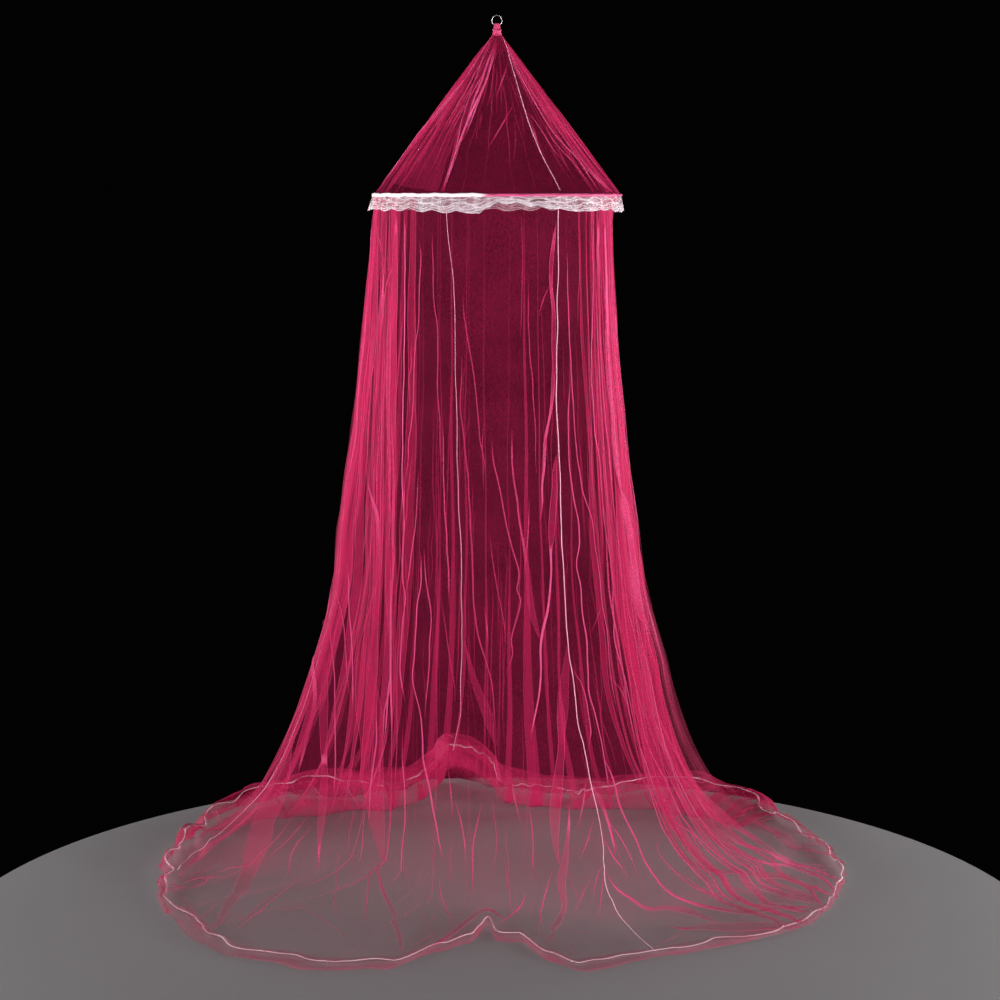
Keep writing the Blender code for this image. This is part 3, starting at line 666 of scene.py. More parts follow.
def panel_columns(surface, pleats, start, end, share):
    """All columns of one panel between two seams: pleats, and plain cloth between them."""
    def metres_at(azimuth):
        step = surface(azimuth + 0.5, share) - surface(azimuth - 0.5, share)
        return np.linalg.norm(step, axis=-1)

    flat = np.zeros_like(share)
    columns = [(flat + start, flat, 0.0)]
    inside = [pleat for pleat in pleats if start + 1.0 < pleat.azimuth < end - 1.0]
    for pleat in inside + [None]:
        if pleat is None:
            following = [(flat + end, flat, 0.0)]
        else:
            following = pleat_columns(pleat, share, metres_at(flat + pleat.azimuth))
        before, after = columns[-1], following[0]
        gap = np.abs(after[0][-1] - before[0][-1]) * metres_at(before[0])[-1]
        plain = max(2, int(math.ceil(gap / PLAIN_COLUMN)))
        for index in range(1, plain):
            part = index / plain
            azimuth = before[0] + (after[0] - before[0]) * part
            lift = before[1] + (after[1] - before[1]) * part
            columns.append((azimuth, lift, 0.0))
        columns += following
    return columns


def pleated_grid(surface, columns, share):
    """Points and crease value of every grid corner, rows down and columns across."""
    azimuth = np.stack([column[0] for column in columns], 1)
    lift = np.stack([column[1] for column in columns], 1)
    crease = np.stack([np.broadcast_to(column[2], share.shape) for column in columns], 1)
    down_share = np.broadcast_to(share[:, None], azimuth.shape)
    point = surface(azimuth, down_share)
    across = surface(azimuth + WIDE_STEP, down_share) - surface(azimuth - WIDE_STEP, down_share)
    later = np.minimum(down_share + LONG_STEP, share[-1])
    earlier = np.maximum(down_share - LONG_STEP, share[0])
    down = surface(azimuth, later) - surface(azimuth, earlier)
    return point + unit(np.cross(down, across)) * lift[..., None], crease


def put_values(mesh, values):
    """Named values on a mesh's points, and smooth shading."""
    for name, value in values.items():
        attribute = mesh.attributes.new(name, "FLOAT", "POINT")
        attribute.data.foreach_set("value", value.reshape(-1).astype(np.float32))
    mesh.polygons.foreach_set("use_smooth", np.ones(len(mesh.polygons), bool))
    mesh.update()
    return mesh


def grid_mesh(name, points, values):
    """Mesh through a grid of points, with a metric UV map and named values on its points."""
    rows, count = points.shape[:2]
    mesh = bpy.data.meshes.new(name)
    index = np.arange(rows * count).reshape(rows, count)
    faces = np.stack([index[1:, :-1], index[1:, 1:], index[:-1, 1:], index[:-1, :-1]], -1)
    faces = faces.reshape(-1, 4)
    mesh.vertices.add(rows * count)
    mesh.vertices.foreach_set("co", points.reshape(-1).astype(np.float32))
    mesh.loops.add(faces.size)
    mesh.loops.foreach_set("vertex_index", faces.reshape(-1).astype(np.int32))
    mesh.polygons.add(len(faces))
    mesh.polygons.foreach_set("loop_start", np.arange(0, faces.size, 4, dtype=np.int32))
    mesh.update(calc_edges=True)
    steps_across = np.linalg.norm(np.diff(points[-1], axis=0), axis=-1)
    steps_down = np.linalg.norm(np.diff(points[:, count // 2], axis=0), axis=-1)
    u = np.concatenate([[0.0], np.cumsum(steps_across)])
    v = np.concatenate([[0.0], np.cumsum(steps_down)])
    uv = np.stack(np.broadcast_arrays(u[None, :], -v[:, None]), -1).reshape(-1, 2)
    layer = mesh.uv_layers.new(name="cloth_metres")
    layer.uv.foreach_set("vector", uv[faces.reshape(-1)].reshape(-1).astype(np.float32))
    return put_values(mesh, values)


def add_piece(name, mesh, material, node):
    """A piece that rides on the canopy's body and stands for one of its nodes."""
    piece = bpy.data.objects.new(name, mesh)
    bpy.context.scene.collection.objects.link(piece)
    mesh.materials.append(material)
    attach(piece, "root")
    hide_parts(node)


# ---- Creases laid on a surface ----
CAMERA_PLACE = np.array([CAMERA_ASIDE, -CAMERA_DISTANCE, HOOP_HEIGHT - HANG_HEIGHT])
PICTURE_CENTRE = 0.5 * PICTURE_SIZE
PIXELS_PER_SLOPE = CAMERA_LENS_MM / SENSOR_MM * PICTURE_SIZE
PIXEL_METRES = 1.0 / 405.0
STROKE_STEP = 0.008
STROKE_LIFT = 0.0022
END_FADE = 0.05            # a crease fades over this length at each end
LINE_SHARE = 0.72          # a crease's ribbon against its bright width in the photograph
SEAM_SHARE = 0.62          # a seam's thread against its bright width in the photograph
FOOT_ROW = 790.0           # a stroke that goes below this pixel row is laid under the folds
FLAT_FROM = 0.0085         # a path at least this wide somewhere is a flat pleat
FLAT_RIM = 0.0012          # width of a flat pleat's edge, which is denser and has the painted highlight
FLAT_SHADE = 0.10          # how much of the painted highlight its middle keeps against its edge
NARROW = 0.006             # a ribbon has the painted highlight all over up to this width,
NARROW_SPAN = 0.004        # and less in its middle over this much more
SMALLEST_LINE = 0.0007
RIBBON_THICKNESS = 0.0009  # half of the most that a ribbon is thick
LAYER_STEP = 0.0004        # crossing ribbons lie on one another at these steps
LAYER_STEPS = 5
THREAD_LIFT = 0.0044
THREAD_ZIGZAG = 0.0006
SEAM_PASSES = 10           # how often a seam's line is steadied
STROKE_SHAKE = 0.5         # uneven hand of a stroke, in pixels
AZIMUTH_STEP = 0.2
SHARE_STEP = 0.002
ZONE_COLUMNS = 301         # places that a search under a pixel starts from
ZONE_ROWS = 241
FINE_STEP = 0.05           # azimuth step of the search
SMALLEST_CELL = 60.0       # cloth seen more edge-on than this keeps its first place found
MOST_TURN = 0.6            # most that one round of the search moves a place
MOST_FALL = 0.008
AWAY_START = 0.75          # cloth turns away from the camera from this sine of the azimuth,
AWAY_SPAN = 0.18           # over this much of it,
AWAY_FOOT = 0.93           # and down to this share of the wall
AWAY_PASSES = 80           # how often a line is steadied there
CREASE_KNOTS = 7           # places between which a loose crease wanders,
CREASE_WANDER = 0.32       # by this many degrees,
CREASE_DRIFT = 1.6         # and drifts aside over its length
GROUND_GAP = 0.0002
Zone = namedtuple("Zone", "surface azimuth_start azimuth_end share_start share_end")
Path = namedtuple("Path", "surface azimuth share width shine edges", defaults=(None,))
FLAT_PROFILE = table(
    "across rise edge",
    (-1.00, 0.0, 1), (-0.86, 1.0, 0), (0.0, 1.0, 0), (0.86, 1.0, 0),
    (1.00, 0.0, 1), (0.86, -1.0, 0), (0.0, -1.0, 0), (-0.86, -1.0, 0),
)
LINE_PROFILE = table("across rise edge", (-1, 0, 1), (0, 1, 1), (1, 0, 1), (0, -1, 1))


def to_pixels(point):
    """Where points fall in the 1000 by 1000 photograph."""
    tilt = math.radians(CAMERA_PITCH_DEG)
    offset = point - CAMERA_PLACE
    depth = offset[..., 1] * math.cos(tilt) - offset[..., 2] * math.sin(tilt)
    up = offset[..., 1] * math.sin(tilt) + offset[..., 2] * math.cos(tilt)
    across = PICTURE_CENTRE + PIXELS_PER_SLOPE * offset[..., 0] / depth
    down = PICTURE_CENTRE - PIXELS_PER_SLOPE * up / depth
    return np.stack([across, down], -1)


def zone_tree(zone):
    """A zone's places on a fine grid, kept by the pixels that they fall on."""
    azimuths = np.linspace(zone.azimuth_start, zone.azimuth_end, ZONE_COLUMNS)
    shares = np.linspace(zone.share_start, zone.share_end, ZONE_ROWS)
    azimuth_grid, share_grid = np.meshgrid(azimuths, shares)
    seen = to_pixels(zone.surface(azimuth_grid, share_grid)).reshape(-1, 2)
    tree = KDTree(len(seen))
    for number, (across, down) in enumerate(seen):
        tree.insert((across, down, 0.0), number)
    tree.balance()
    return zone, np.stack([azimuth_grid.reshape(-1), share_grid.reshape(-1)], -1), tree


def find_on_surface(found_zone, pixels):
    """Azimuth and share of the surface under each pixel."""
    zone, places, tree = found_zone
    nearest = [tree.find((across, down, 0.0))[1] for across, down in pixels]
    azimuth, share = places[nearest].T
    for _ in range(2):
        seen = to_pixels(zone.surface(azimuth, share))
        by_azimuth = (to_pixels(zone.surface(azimuth + FINE_STEP, share)) - seen) / FINE_STEP
        by_share = (to_pixels(zone.surface(azimuth, share + SHARE_STEP)) - seen) / SHARE_STEP
        area = by_azimuth[:, 0] * by_share[:, 1] - by_azimuth[:, 1] * by_share[:, 0]
        usable = np.abs(area) > SMALLEST_CELL
        area = np.where(usable, area, 1.0)
        miss = pixels - seen
        turn = (miss[:, 0] * by_share[:, 1] - miss[:, 1] * by_share[:, 0]) / area
        fall = (miss[:, 1] * by_azimuth[:, 0] - miss[:, 0] * by_azimuth[:, 1]) / area
        azimuth = azimuth + np.where(usable, np.clip(turn, -MOST_TURN, MOST_TURN), 0.0)
        share = share + np.where(usable, np.clip(fall, -MOST_FALL, MOST_FALL), 0.0)
    azimuth = np.clip(azimuth, zone.azimuth_start, zone.azimuth_end)
    return azimuth, np.clip(share, zone.share_start + SHARE_STEP, zone.share_end - 2 * SHARE_STEP)


def smooth_through(knots, values, wanted):
    """Catmull-Rom curve through values at knots, read at the wanted places."""
    before = np.concatenate([[2 * values[0] - values[1]], values, [2 * values[-1] - values[-2]]])
    index = np.clip(np.searchsorted(knots, wanted, side="right") - 1, 0, len(knots) - 2)
    share = (wanted - knots[index]) / (knots[index + 1] - knots[index])
    p0, p1, p2, p3 = (before[index + shift] for shift in range(4))
    cubic = (3 * (p1 - p2) + p3 - p0) * share ** 3
    square = (2 * p0 - 5 * p1 + 4 * p2 - p3) * share ** 2
    return 0.5 * (2 * p1 + (p2 - p0) * share + square + cubic)


def smoothed(values, passes):
    values = values.copy()
    for _ in range(passes):
        values[1:-1] = 0.25 * (values[:-2] + values[2:]) + 0.5 * values[1:-1]
    return values


def smooth_places(found_zone, pixels, passes):
    """Azimuth and share under pixels, steadied most where the cloth turns away from the camera."""
    azimuth, share = find_on_surface(found_zone, pixels)
    aside = np.clip((np.abs(np.sin(np.radians(azimuth))) - AWAY_START) / AWAY_SPAN, 0.0, 1.0)
    aside = smoothed(aside * np.clip((AWAY_FOOT - share) / 0.10, 0.0, 1.0), 12)
    azimuth = (1.0 - aside) * smoothed(azimuth, passes + 1) + aside * smoothed(azimuth, AWAY_PASSES)
    return np.stack([azimuth, smoothed(share, passes)])


def stroke_path(zones, stroke, draw, passes=2):
    """A stroke of the photograph as a path over its zone's surface."""
    route = np.array(stroke.route, float)
    crosses_foot = stroke.zone == "front" and route[:, 1].max() > FOOT_ROW
    found_zone = zones["foot" if crosses_foot else stroke.zone]
    steps = np.linalg.norm(np.diff(route[:, :2], axis=0), axis=1) * PIXEL_METRES
    knots = np.concatenate([[0.0], np.cumsum(steps)])
    count = max(6, int(knots[-1] / STROKE_STEP))
    wanted = np.linspace(0.0, knots[-1], count)
    pixels = np.stack([smooth_through(knots, route[:, 0], wanted),
                       smooth_through(knots, route[:, 1], wanted)], -1)
    shakes = max(3, count // 5)
    shake = draw.normal(0.0, STROKE_SHAKE, shakes)
    pixels[:, 0] += np.interp(wanted, np.linspace(0, knots[-1], shakes), shake)
    azimuth, share = smooth_places(found_zone, pixels, passes)
    width = np.interp(wanted, knots, route[:, 2]) * PIXEL_METRES
    fade = np.minimum(wanted, knots[-1] - wanted) / END_FADE
    shine = stroke.shine * np.clip(fade, 0.1, 1.0)
    if width.max() < FLAT_FROM:
        return Path(found_zone[0].surface, azimuth, share, width * LINE_SHARE, shine)
    run = unit(np.gradient(pixels, axis=0))
    across = np.stack([run[:, 1], -run[:, 0]], -1) * (0.5 * width / PIXEL_METRES)[:, None]
    edges = [smooth_places(found_zone, pixels + sign * across, passes) for sign in (-1.0, 1.0)]
    return Path(found_zone[0].surface, azimuth, share, width, shine, edges)


def loose_paths(surface, groups, draw, last_share):
    """Small uneven creases that run mostly down the cloth."""
    paths = []
    for group in [group for group in groups for _ in range(group.count)]:
        azimuth = draw.uniform(group.start, group.end)
        share = draw.uniform(group.high, group.low)
        length = group.length * draw.uniform(0.4, 1.6)
        end = min(share + length / 1.2, last_share - 0.01)
        count = max(6, int((end - share) * 1.4 / (1.6 * STROKE_STEP)))
        along = np.linspace(0.0, 1.0, count)
        wander = draw.normal(0.0, CREASE_WANDER, CREASE_KNOTS)
        turns = np.interp(along, np.linspace(0, 1, CREASE_KNOTS), wander)
        drift = draw.normal(0.0, CREASE_DRIFT)
        width = group.width * draw.uniform(0.6, 1.5) * np.sin(math.pi * (0.04 + 0.92 * along)) ** 0.6
        shine = group.shine * draw.uniform(0.35, 1.2)
        fade = np.clip(4.0 * np.minimum(along, 1.0 - along), 0.1, 1.0)
        paths.append(Path(surface, azimuth + drift * along + turns,
                          share + (end - share) * along, width, shine * fade))
    return paths


def steps_along(side, by_azimuth, by_share):
    """How far to turn and to fall on the surface to move one metre along side."""
    turn_turn = dot(by_azimuth, by_azimuth)
    fall_fall = dot(by_share, by_share)
    turn_fall = dot(by_azimuth, by_share)
    turn_side = dot(by_azimuth, side)
    fall_side = dot(by_share, side)
    area = np.maximum(turn_turn * fall_fall - turn_fall ** 2, 1e-12)
    turn = (turn_side * fall_fall - fall_side * turn_fall) / area
    fall = (fall_side * turn_turn - turn_side * turn_fall) / area
    return turn, fall


def path_rings(path, lift):
    """Rings of points round a path, and the crease value of every point: denser net and a painted
    highlight.
    """
    profile = LINE_PROFILE if path.edges is None else FLAT_PROFILE
    azimuth, share, surface = path.azimuth, path.share, path.surface
    centre = surface(azimuth, share)
    by_azimuth = surface(azimuth + AZIMUTH_STEP, share) - surface(azimuth - AZIMUTH_STEP, share)
    by_azimuth /= 2.0 * AZIMUTH_STEP
    by_share = surface(azimuth, share + SHARE_STEP) - surface(azimuth, share - SHARE_STEP)
    by_share /= 2.0 * SHARE_STEP
    normal = unit(np.cross(by_share, by_azimuth))
    side = unit(np.cross(normal, np.gradient(centre, axis=0)))
    turn, fall = steps_along(side, by_azimuth, by_share)
    half = 0.5 * np.maximum(path.width, SMALLEST_LINE)
    narrow = np.clip(1.0 - (path.width - NARROW) / NARROW_SPAN, FLAT_SHADE, 1.0)
    if path.edges is not None:
        low, high = path.edges
        if np.sum((surface(*high) - surface(*low)) * side) < 0.0:
            low, high = high, low
    points, crease = [], []
    for corner in profile:
        reach = corner.across * half
        if profile is FLAT_PROFILE and 0.0 < abs(corner.across) < 1.0:
            reach = np.sign(corner.across) * np.maximum(half - FLAT_RIM, 0.6 * half)
        if path.edges is not None:
            place = surface(*(low + (high - low) * (0.5 + 0.5 * reach / half)))
        else:
            place = surface(azimuth + turn * reach, np.maximum(share + fall * reach, 0.001))
            away = place - centre
            far = np.linalg.norm(away, axis=-1) / (1.25 * np.abs(reach) + 1e-6)
            place = centre + away / np.maximum(far, 1.0)[..., None]
        thick = corner.rise * np.minimum(RIBBON_THICKNESS, 0.3 * path.width)
        points.append(place + normal * (lift + thick)[..., None])
        # Painted highlight: full at a ribbon's edges, less in a wide ribbon's middle.
        crease.append(path.shine * np.where(corner.edge, 1.0, narrow))
    return np.stack(points, 1), np.stack(crease, 1)


def paths_mesh(name, paths, lift=STROKE_LIFT, zigzag=0.0):
    """One mesh of closed slender ribbons along paths."""
    vertices, creases, faces, start = [], [], [], 0
    for number, path in enumerate(paths):
        height = lift + LAYER_STEP * (number % LAYER_STEPS) + zigzag * (np.arange(len(path.share)) % 2)
        points, crease = path_rings(path, height)
        rings, corners = points.shape[:2]
        index = start + np.arange(rings * corners).reshape(rings, corners)
        turned = np.roll(index, -1, axis=1)
        faces += np.stack([index[:-1], turned[:-1], turned[1:], index[1:]], -1).reshape(-1, 4).tolist()
        faces.append(index[0][::-1].tolist())
        faces.append(index[-1].tolist())
        vertices.append(points.reshape(-1, 3))
        creases.append(crease.reshape(-1))
        start += rings * corners
    points = np.concatenate(vertices)
    points[:, 2] = np.maximum(points[:, 2], GROUND_GAP - HANG_HEIGHT)
    mesh = bpy.data.meshes.new(name)
    mesh.from_pydata(points.tolist(), [], faces)
    return put_values(mesh, {"crease": np.concatenate(creases)})


# ---- Materials ----
NET_PITCH = 0.0028
NET_OPACITY = -0.075       # the opacity's start, to which these add:
MESH_OPACITY = 0.03
UNEVEN_OPACITY = 0.10
GRAIN_OPACITY = 0.22
CLOUD_CONTRAST = 4.4       # patchiness where the net lies in layers
CLOUD_CUT = 1.25
CLOUD_LEAST = 0.10
PALE_FROM = 0.14           # crease value from which the net is painted paler, a painted highlight
NET_AND_SHEEN_COLORS = ((0.76, 0.030, 0.150), (1.0, 0.185, 0.46))       # the single net, and the paler pink of a folded edge's painted highlight
LACE_COLORS = ((0.70, 0.50, 0.60), (1.0, 0.94, 0.97))
LOOKS = table(
    "name value first second grain_scale detail bump roughness metallic",
    # gathered_net's second colour is a painted highlight, which the neck rope's flute ridges get.
    ("gathered_net", "crease", (0.62, 0.014, 0.105), (0.95, 0.14, 0.36), 900.0, 2.0, 0.0006, 0.7, 0.0),
    ("frill_heading_cloth", "tape", (0.95, 0.84, 0.89), (0.70, 0.07, 0.23), 700.0, 2.0, 0.0005, 0.5, 0.0),
    ("seam_thread", None, (0.86, 0.36, 0.52), (1.0, 0.62, 0.74), 500.0, 3.0, 0.0003, 0.6, 0.0),
    ("hem_thread", None, (1.0, 0.66, 0.78), (1.0, 0.86, 0.92), 500.0, 3.0, 0.0003, 0.6, 0.0),
    ("hoop_tape", None, (0.62, 0.05, 0.20), (0.80, 0.14, 0.32), 600.0, 3.0, 0.0003, 0.6, 0.0),
    ("ring_steel", None, (0.50, 0.49, 0.47), (0.62, 0.61, 0.58), 800.0, 3.0, 0.0003, 0.35, 1.0),
    ("pale_floor", None, (0.41, 0.41, 0.42), (0.44, 0.44, 0.45), 3.0, 3.0, 0.0003, 0.9, 0.0),
)


def new_material(name):
    material = bpy.data.materials.new(name)
    material.use_nodes = True
    return material, material.node_tree, material.node_tree.nodes["Principled BSDF"]


def add_math(tree, operation, first, second=None):
    node = tree.nodes.new("ShaderNodeMath")
    node.operation = operation
    for socket, value in zip(node.inputs, (first, second)):
        if value is None:
            continue
        if isinstance(value, (int, float)):
            socket.default_value = value
        else:
            tree.links.new(value, socket)
    return node.outputs[0]


def add_noise(tree, scale, detail):
    """Uneven value round 0.5 with features of 1/scale metres."""
    place = tree.nodes.new("ShaderNodeTexCoord")
    noise = tree.nodes.new("ShaderNodeTexNoise")
    noise.inputs["Scale"].default_value = scale
    noise.inputs["Detail"].default_value = detail
    tree.links.new(place.outputs["Object"], noise.inputs["Vector"])
    return noise.outputs["Fac"]


def add_value(tree, name):
    """A value that the mesh's points carry."""
    node = tree.nodes.new("ShaderNodeAttribute")
    node.attribute_name = name
    return node.outputs["Fac"]


def add_grain(tree, shader, height, strength):
    bump = tree.nodes.new("ShaderNodeBump")
    bump.inputs["Distance"].default_value = strength
    tree.links.new(height, bump.inputs["Height"])
    tree.links.new(bump.outputs["Normal"], shader.inputs["Normal"])


def add_tint(tree, shader, factor, colors):
    """Base colour between two colours, by a factor."""
    blend = tree.nodes.new("ShaderNodeMix")
    blend.data_type = "RGBA"
    blend.inputs["A"].default_value = (*colors[0], 1.0)
    blend.inputs["B"].default_value = (*colors[1], 1.0)
    tree.links.new(factor, blend.inputs["Factor"])
    tree.links.new(blend.outputs["Result"], shader.inputs["Base Color"])


def add_mesh(tree):
    """Fine waves both ways of the cloth, from -1 to 1."""
    cloth = tree.nodes.new("ShaderNodeUVMap")
    cloth.uv_map = "cloth_metres"
    split = tree.nodes.new("ShaderNodeSeparateXYZ")
    tree.links.new(cloth.outputs["UV"], split.inputs["Vector"])
    turns = FULL_TURN / NET_PITCH
    across = add_math(tree, "SINE", add_math(tree, "MULTIPLY", split.outputs["X"], turns))
    down = add_math(tree, "SINE", add_math(tree, "MULTIPLY", split.outputs["Y"], turns))
    return add_math(tree, "MULTIPLY", across, down)


def make_net_material():
    """Sheer net: thin mesh, uneven from place to place, dense along folded edges, where it is also
    painted paler as a painted highlight.
    """
    material, tree, shader = new_material("sheer_net")
    crease = add_value(tree, "crease")
    # Painted highlight: where the crease value is high, along folded edges, the net is painted a paler
    # pink.
    add_tint(tree, shader, add_math(tree, "SUBTRACT", crease, PALE_FROM), NET_AND_SHEEN_COLORS)
    mesh = add_math(tree, "MULTIPLY", add_mesh(tree), MESH_OPACITY)
    uneven = add_math(tree, "MULTIPLY", add_noise(tree, 9.0, 3.0), UNEVEN_OPACITY)
    grain = add_math(tree, "MULTIPLY", add_noise(tree, 330.0, 1.0), GRAIN_OPACITY)
    thin = add_math(tree, "ADD", add_math(tree, "ADD", mesh, uneven), grain)
    thin = add_math(tree, "ADD", thin, NET_OPACITY)
    streak = add_math(tree, "MULTIPLY", add_noise(tree, 60.0, 2.0), 0.5)
    dense = add_math(tree, "MULTIPLY", crease, add_math(tree, "ADD", streak, 0.50))
    cloud = add_math(tree, "MULTIPLY", add_noise(tree, 15.0, 5.0), CLOUD_CONTRAST)
    cloud = add_math(tree, "MAXIMUM", add_math(tree, "SUBTRACT", cloud, CLOUD_CUT), CLOUD_LEAST)
    layers = add_math(tree, "MULTIPLY", add_value(tree, "layers"), cloud)
    alpha = add_math(tree, "ADD", add_math(tree, "ADD", dense, layers), thin)
    tree.links.new(alpha, shader.inputs["Alpha"])
    shader.inputs["Roughness"].default_value = 0.6
    shader.inputs["Specular IOR Level"].default_value = 0.05
    return material


def make_lace_material():
    """White lace with a pink cast: solid where it has thread, open between."""
    material, tree, shader = new_material("raschel_lace")
    thread = add_value(tree, "thread")
    tree.links.new(thread, shader.inputs["Alpha"])
    add_tint(tree, shader, add_noise(tree, 130.0, 2.0), LACE_COLORS)
    add_grain(tree, shader, thread, 0.0008)
    shader.inputs["Roughness"].default_value = 0.55
    return material


def make_material(look):
    """Opaque: two colours mixed by a value of the mesh, or else by the fine grain that it all has."""
    material, tree, shader = new_material(look.name)
    grain = add_noise(tree, look.grain_scale, look.detail)
    factor = add_value(tree, look.value) if look.value else grain
    add_tint(tree, shader, factor, (look.first, look.second))
    add_grain(tree, shader, grain, look.bump)
    shader.inputs["Roughness"].default_value = look.roughness
    shader.inputs["Metallic"].default_value = look.metallic
    return material


# ---- Pieces ----
def build_skirt(net):
    """Four pleated panels from seam to seam, all the way down and out to the folded hem."""
    pleats = gathered_pleats(SKIRT_GATHERS, np.random.default_rng(SEED))
    pleats += [pleat._replace(azimuth=pleat.azimuth + 360.0) for pleat in pleats]
    pleats.sort(key=lambda pleat: pleat.azimuth)
    wall = 1.0 - (1.0 - np.linspace(0.0, 1.0, WALL_ROWS)) ** WALL_ROW_POWER
    train = 1.0 + np.linspace(0.0, 1.0, TRAIN_ROWS)[1:]
    border = 2.0 + np.linspace(0.0, 1.0, BORDER_ROWS)[1:]
    share = np.concatenate([wall, train, border])
    for panel in PANELS:
        columns = panel_columns(skirt_surface, pleats, panel.start, panel.end, share)
        points, crease = pleated_grid(skirt_surface, columns, share)
        points[..., 2] = np.maximum(points[..., 2], 0.5 * TRAIN_LIFT - HANG_HEIGHT)
        azimuth = np.stack([column[0] for column in columns], 1)
        rows = np.broadcast_to(share[:, None], azimuth.shape)
        # Along the hem's fold the net is made denser and painted paler, a painted highlight.
        crease = np.maximum(crease, HEM_EDGE_CREASE_AND_SHEEN * (np.abs(rows - 2.0) < 0.004))
        bunched = around(SWELLS, azimuth, "layers") * np.clip((rows - BUNCH_START) * 10.0, 0.0, 1.0)
        layers = HEM_LAYERS * (rows > 2.0) + bunched
        mesh = grid_mesh(panel.name, points, {"crease": crease, "layers": layers})
        add_piece(panel.name, mesh, net, "skirt_net")


def build_roof(net):
    share = np.linspace(0.0, 1.0, ROOF_ROWS)
    pleats = gathered_pleats(ROOF_GATHERS, np.random.default_rng(SEED + 1))
    columns = panel_columns(roof_surface, pleats, -180.0, 180.0, share)
    points, crease = pleated_grid(roof_surface, columns, share)
    mesh = grid_mesh("roof_sheet", points, {"crease": crease})
    add_piece("roof_sheet", mesh, net, "roof_net")


FRILL_DROPS = table(
    "azimuth drop",
    (-180, 0.038), (-60, 0.034), (-22, 0.037), (-12, 0.042), (-8, 0.046), (-4, 0.028), (1, 0.016),
    (9, 0.017), (16, 0.024), (24, 0.032), (34, 0.036), (90, 0.038),
)
HEADING_HALF_HEIGHT = 0.0044
TAPE_HALF_HEIGHT = 0.0026
TAPE_START = -8.0
TAPE_END = 100.0
HEADING_DEPTH = 0.0014
FRILL_TOP_RADIUS = 0.3020
FRILL_FLARE = 0.0055
FRILL_RUFFLE = 0.0044
FRILL_SCALLOPS = 36
FRILL_COLUMNS = 1260
FRILL_ROWS = 27
HEADING_COLUMNS = 361
HEADING_CORNERS = 13
HEADING_GAP = 0.0006
FRILL_SCALLOP_DEPTH = 0.0045
FRILL_TUCK = 0.002         # the frill starts this far up behind the heading's lower edge
LACE_REPEAT = FULL_TURN * FRILL_TOP_RADIUS / FRILL_SCALLOPS
LACE_FULL_DROP = 0.042     # the cords' heights are for a frill of this drop
LEAF_RADIUS = 0.0090


def frill_surface(azimuth, share):
    angle = np.radians(azimuth)
    scallop = np.abs(np.sin(0.5 * FRILL_SCALLOPS * angle + 0.7 * np.sin(5 * angle)))
    uneven = 0.90 + 0.05 * np.sin(11 * angle) + 0.04 * np.sin(29 * angle)
    drop = around(FRILL_DROPS, azimuth, "drop") * uneven + FRILL_SCALLOP_DEPTH * scallop - FRILL_TUCK
    ruffle = 0.5 + 0.30 * np.cos(47 * angle + 1.6 * np.sin(5 * angle)) + 0.20 * np.cos(83 * angle)
    flare = FRILL_FLARE * (1.0 - 0.5 * np.sin(angle)) + FRILL_RUFFLE * ruffle
    top = HOOP_HEIGHT - HEADING_HALF_HEIGHT + FRILL_TUCK
    return polar(azimuth, FRILL_TOP_RADIUS + share * flare, top - drop * share)


def thread_line(distance, width):
    return np.exp(-(distance / width) ** 2)


LACE_CORDS = table(
    "height wave phase repeats width strength",
    (0.0009, 0.0000, 0.0, 1.0, 0.0015, 1.0),
    (0.0060, 0.0022, 0.3, 1.0, 0.0012, 0.9),
    (0.0120, 0.0034, 0.9, 1.0, 0.0012, 0.8),
    (0.0190, 0.0050, 0.1, 0.5, 0.0013, 0.9),
    (0.0275, 0.0060, 1.7, 0.5, 0.0013, 0.8),
    (0.0360, 0.0040, 2.6, 1.0, 0.0012, 0.7),
)


def lace_threads(azimuth, share):
    """How much thread the lace has at each place."""
    # Places on the flat lace, which gathering has pushed to and fro
    along = np.radians(azimuth) * FRILL_TOP_RADIUS
    depth = around(FRILL_DROPS, azimuth, "drop")
    up = depth * (1.0 - share)
    shifted = along + 0.004 * np.sin(61.0 * along + 2.0) + 0.003 * np.sin(143.0 * along + 90.0 * up)

    # Cords along the frill, and a leaf in each repeat
    turns = FULL_TURN * shifted / LACE_REPEAT
    cords = np.zeros_like(along)
    for cord in LACE_CORDS:
        level = cord.height + cord.wave * np.sin(cord.repeats * turns + cord.phase)
        level *= depth / LACE_FULL_DROP
        cords = np.maximum(cords, cord.strength * thread_line(up - level, cord.width))
    leaf_across = ((shifted / LACE_REPEAT) % 1.0 - 0.5) * LACE_REPEAT
    leaf = np.hypot(leaf_across, up - 0.45 * depth)
    turn = np.arctan2(up - 0.45 * depth, leaf_across)
    petals = thread_line(leaf - LEAF_RADIUS * (0.7 + 0.3 * np.cos(4.0 * turn + 0.8)), 0.0011)

    # Ground of fine crossing threads, closer in its gathers, in patches and in front
    gathers = 0.5 + 0.5 * np.sin(190.0 * shifted + 2.0 * np.sin(40.0 * along))
    patch = 0.5 + 0.5 * np.sin(37.0 * along + 60.0 * up) * np.sin(23.0 * along - 90.0 * up + 1.0)
    ground = np.abs(np.sin(700.0 * (shifted + up)) * np.sin(700.0 * (shifted - up)))
    near = np.where(np.abs(wrap(azimuth)) < 100.0, 1.0, 0.6)
    total = 0.02 + 0.26 * patch ** 2 + 0.10 * (1.0 - ground) + 0.22 * gathers ** 3
    return near * np.clip(total + 0.80 * np.maximum(cords, 0.8 * petals), 0.0, 1.0)


def build_frill(material):
    azimuths = np.linspace(-180.0, 180.0, FRILL_COLUMNS)
    azimuth, share = np.meshgrid(azimuths, np.linspace(0.0, 1.0, FRILL_ROWS))
    threads = {"thread": lace_threads(azimuth, share)}
    mesh = grid_mesh("lace_sheet", frill_surface(azimuth, share), threads)
    add_piece("lace_sheet", mesh, material, "lace_frill")


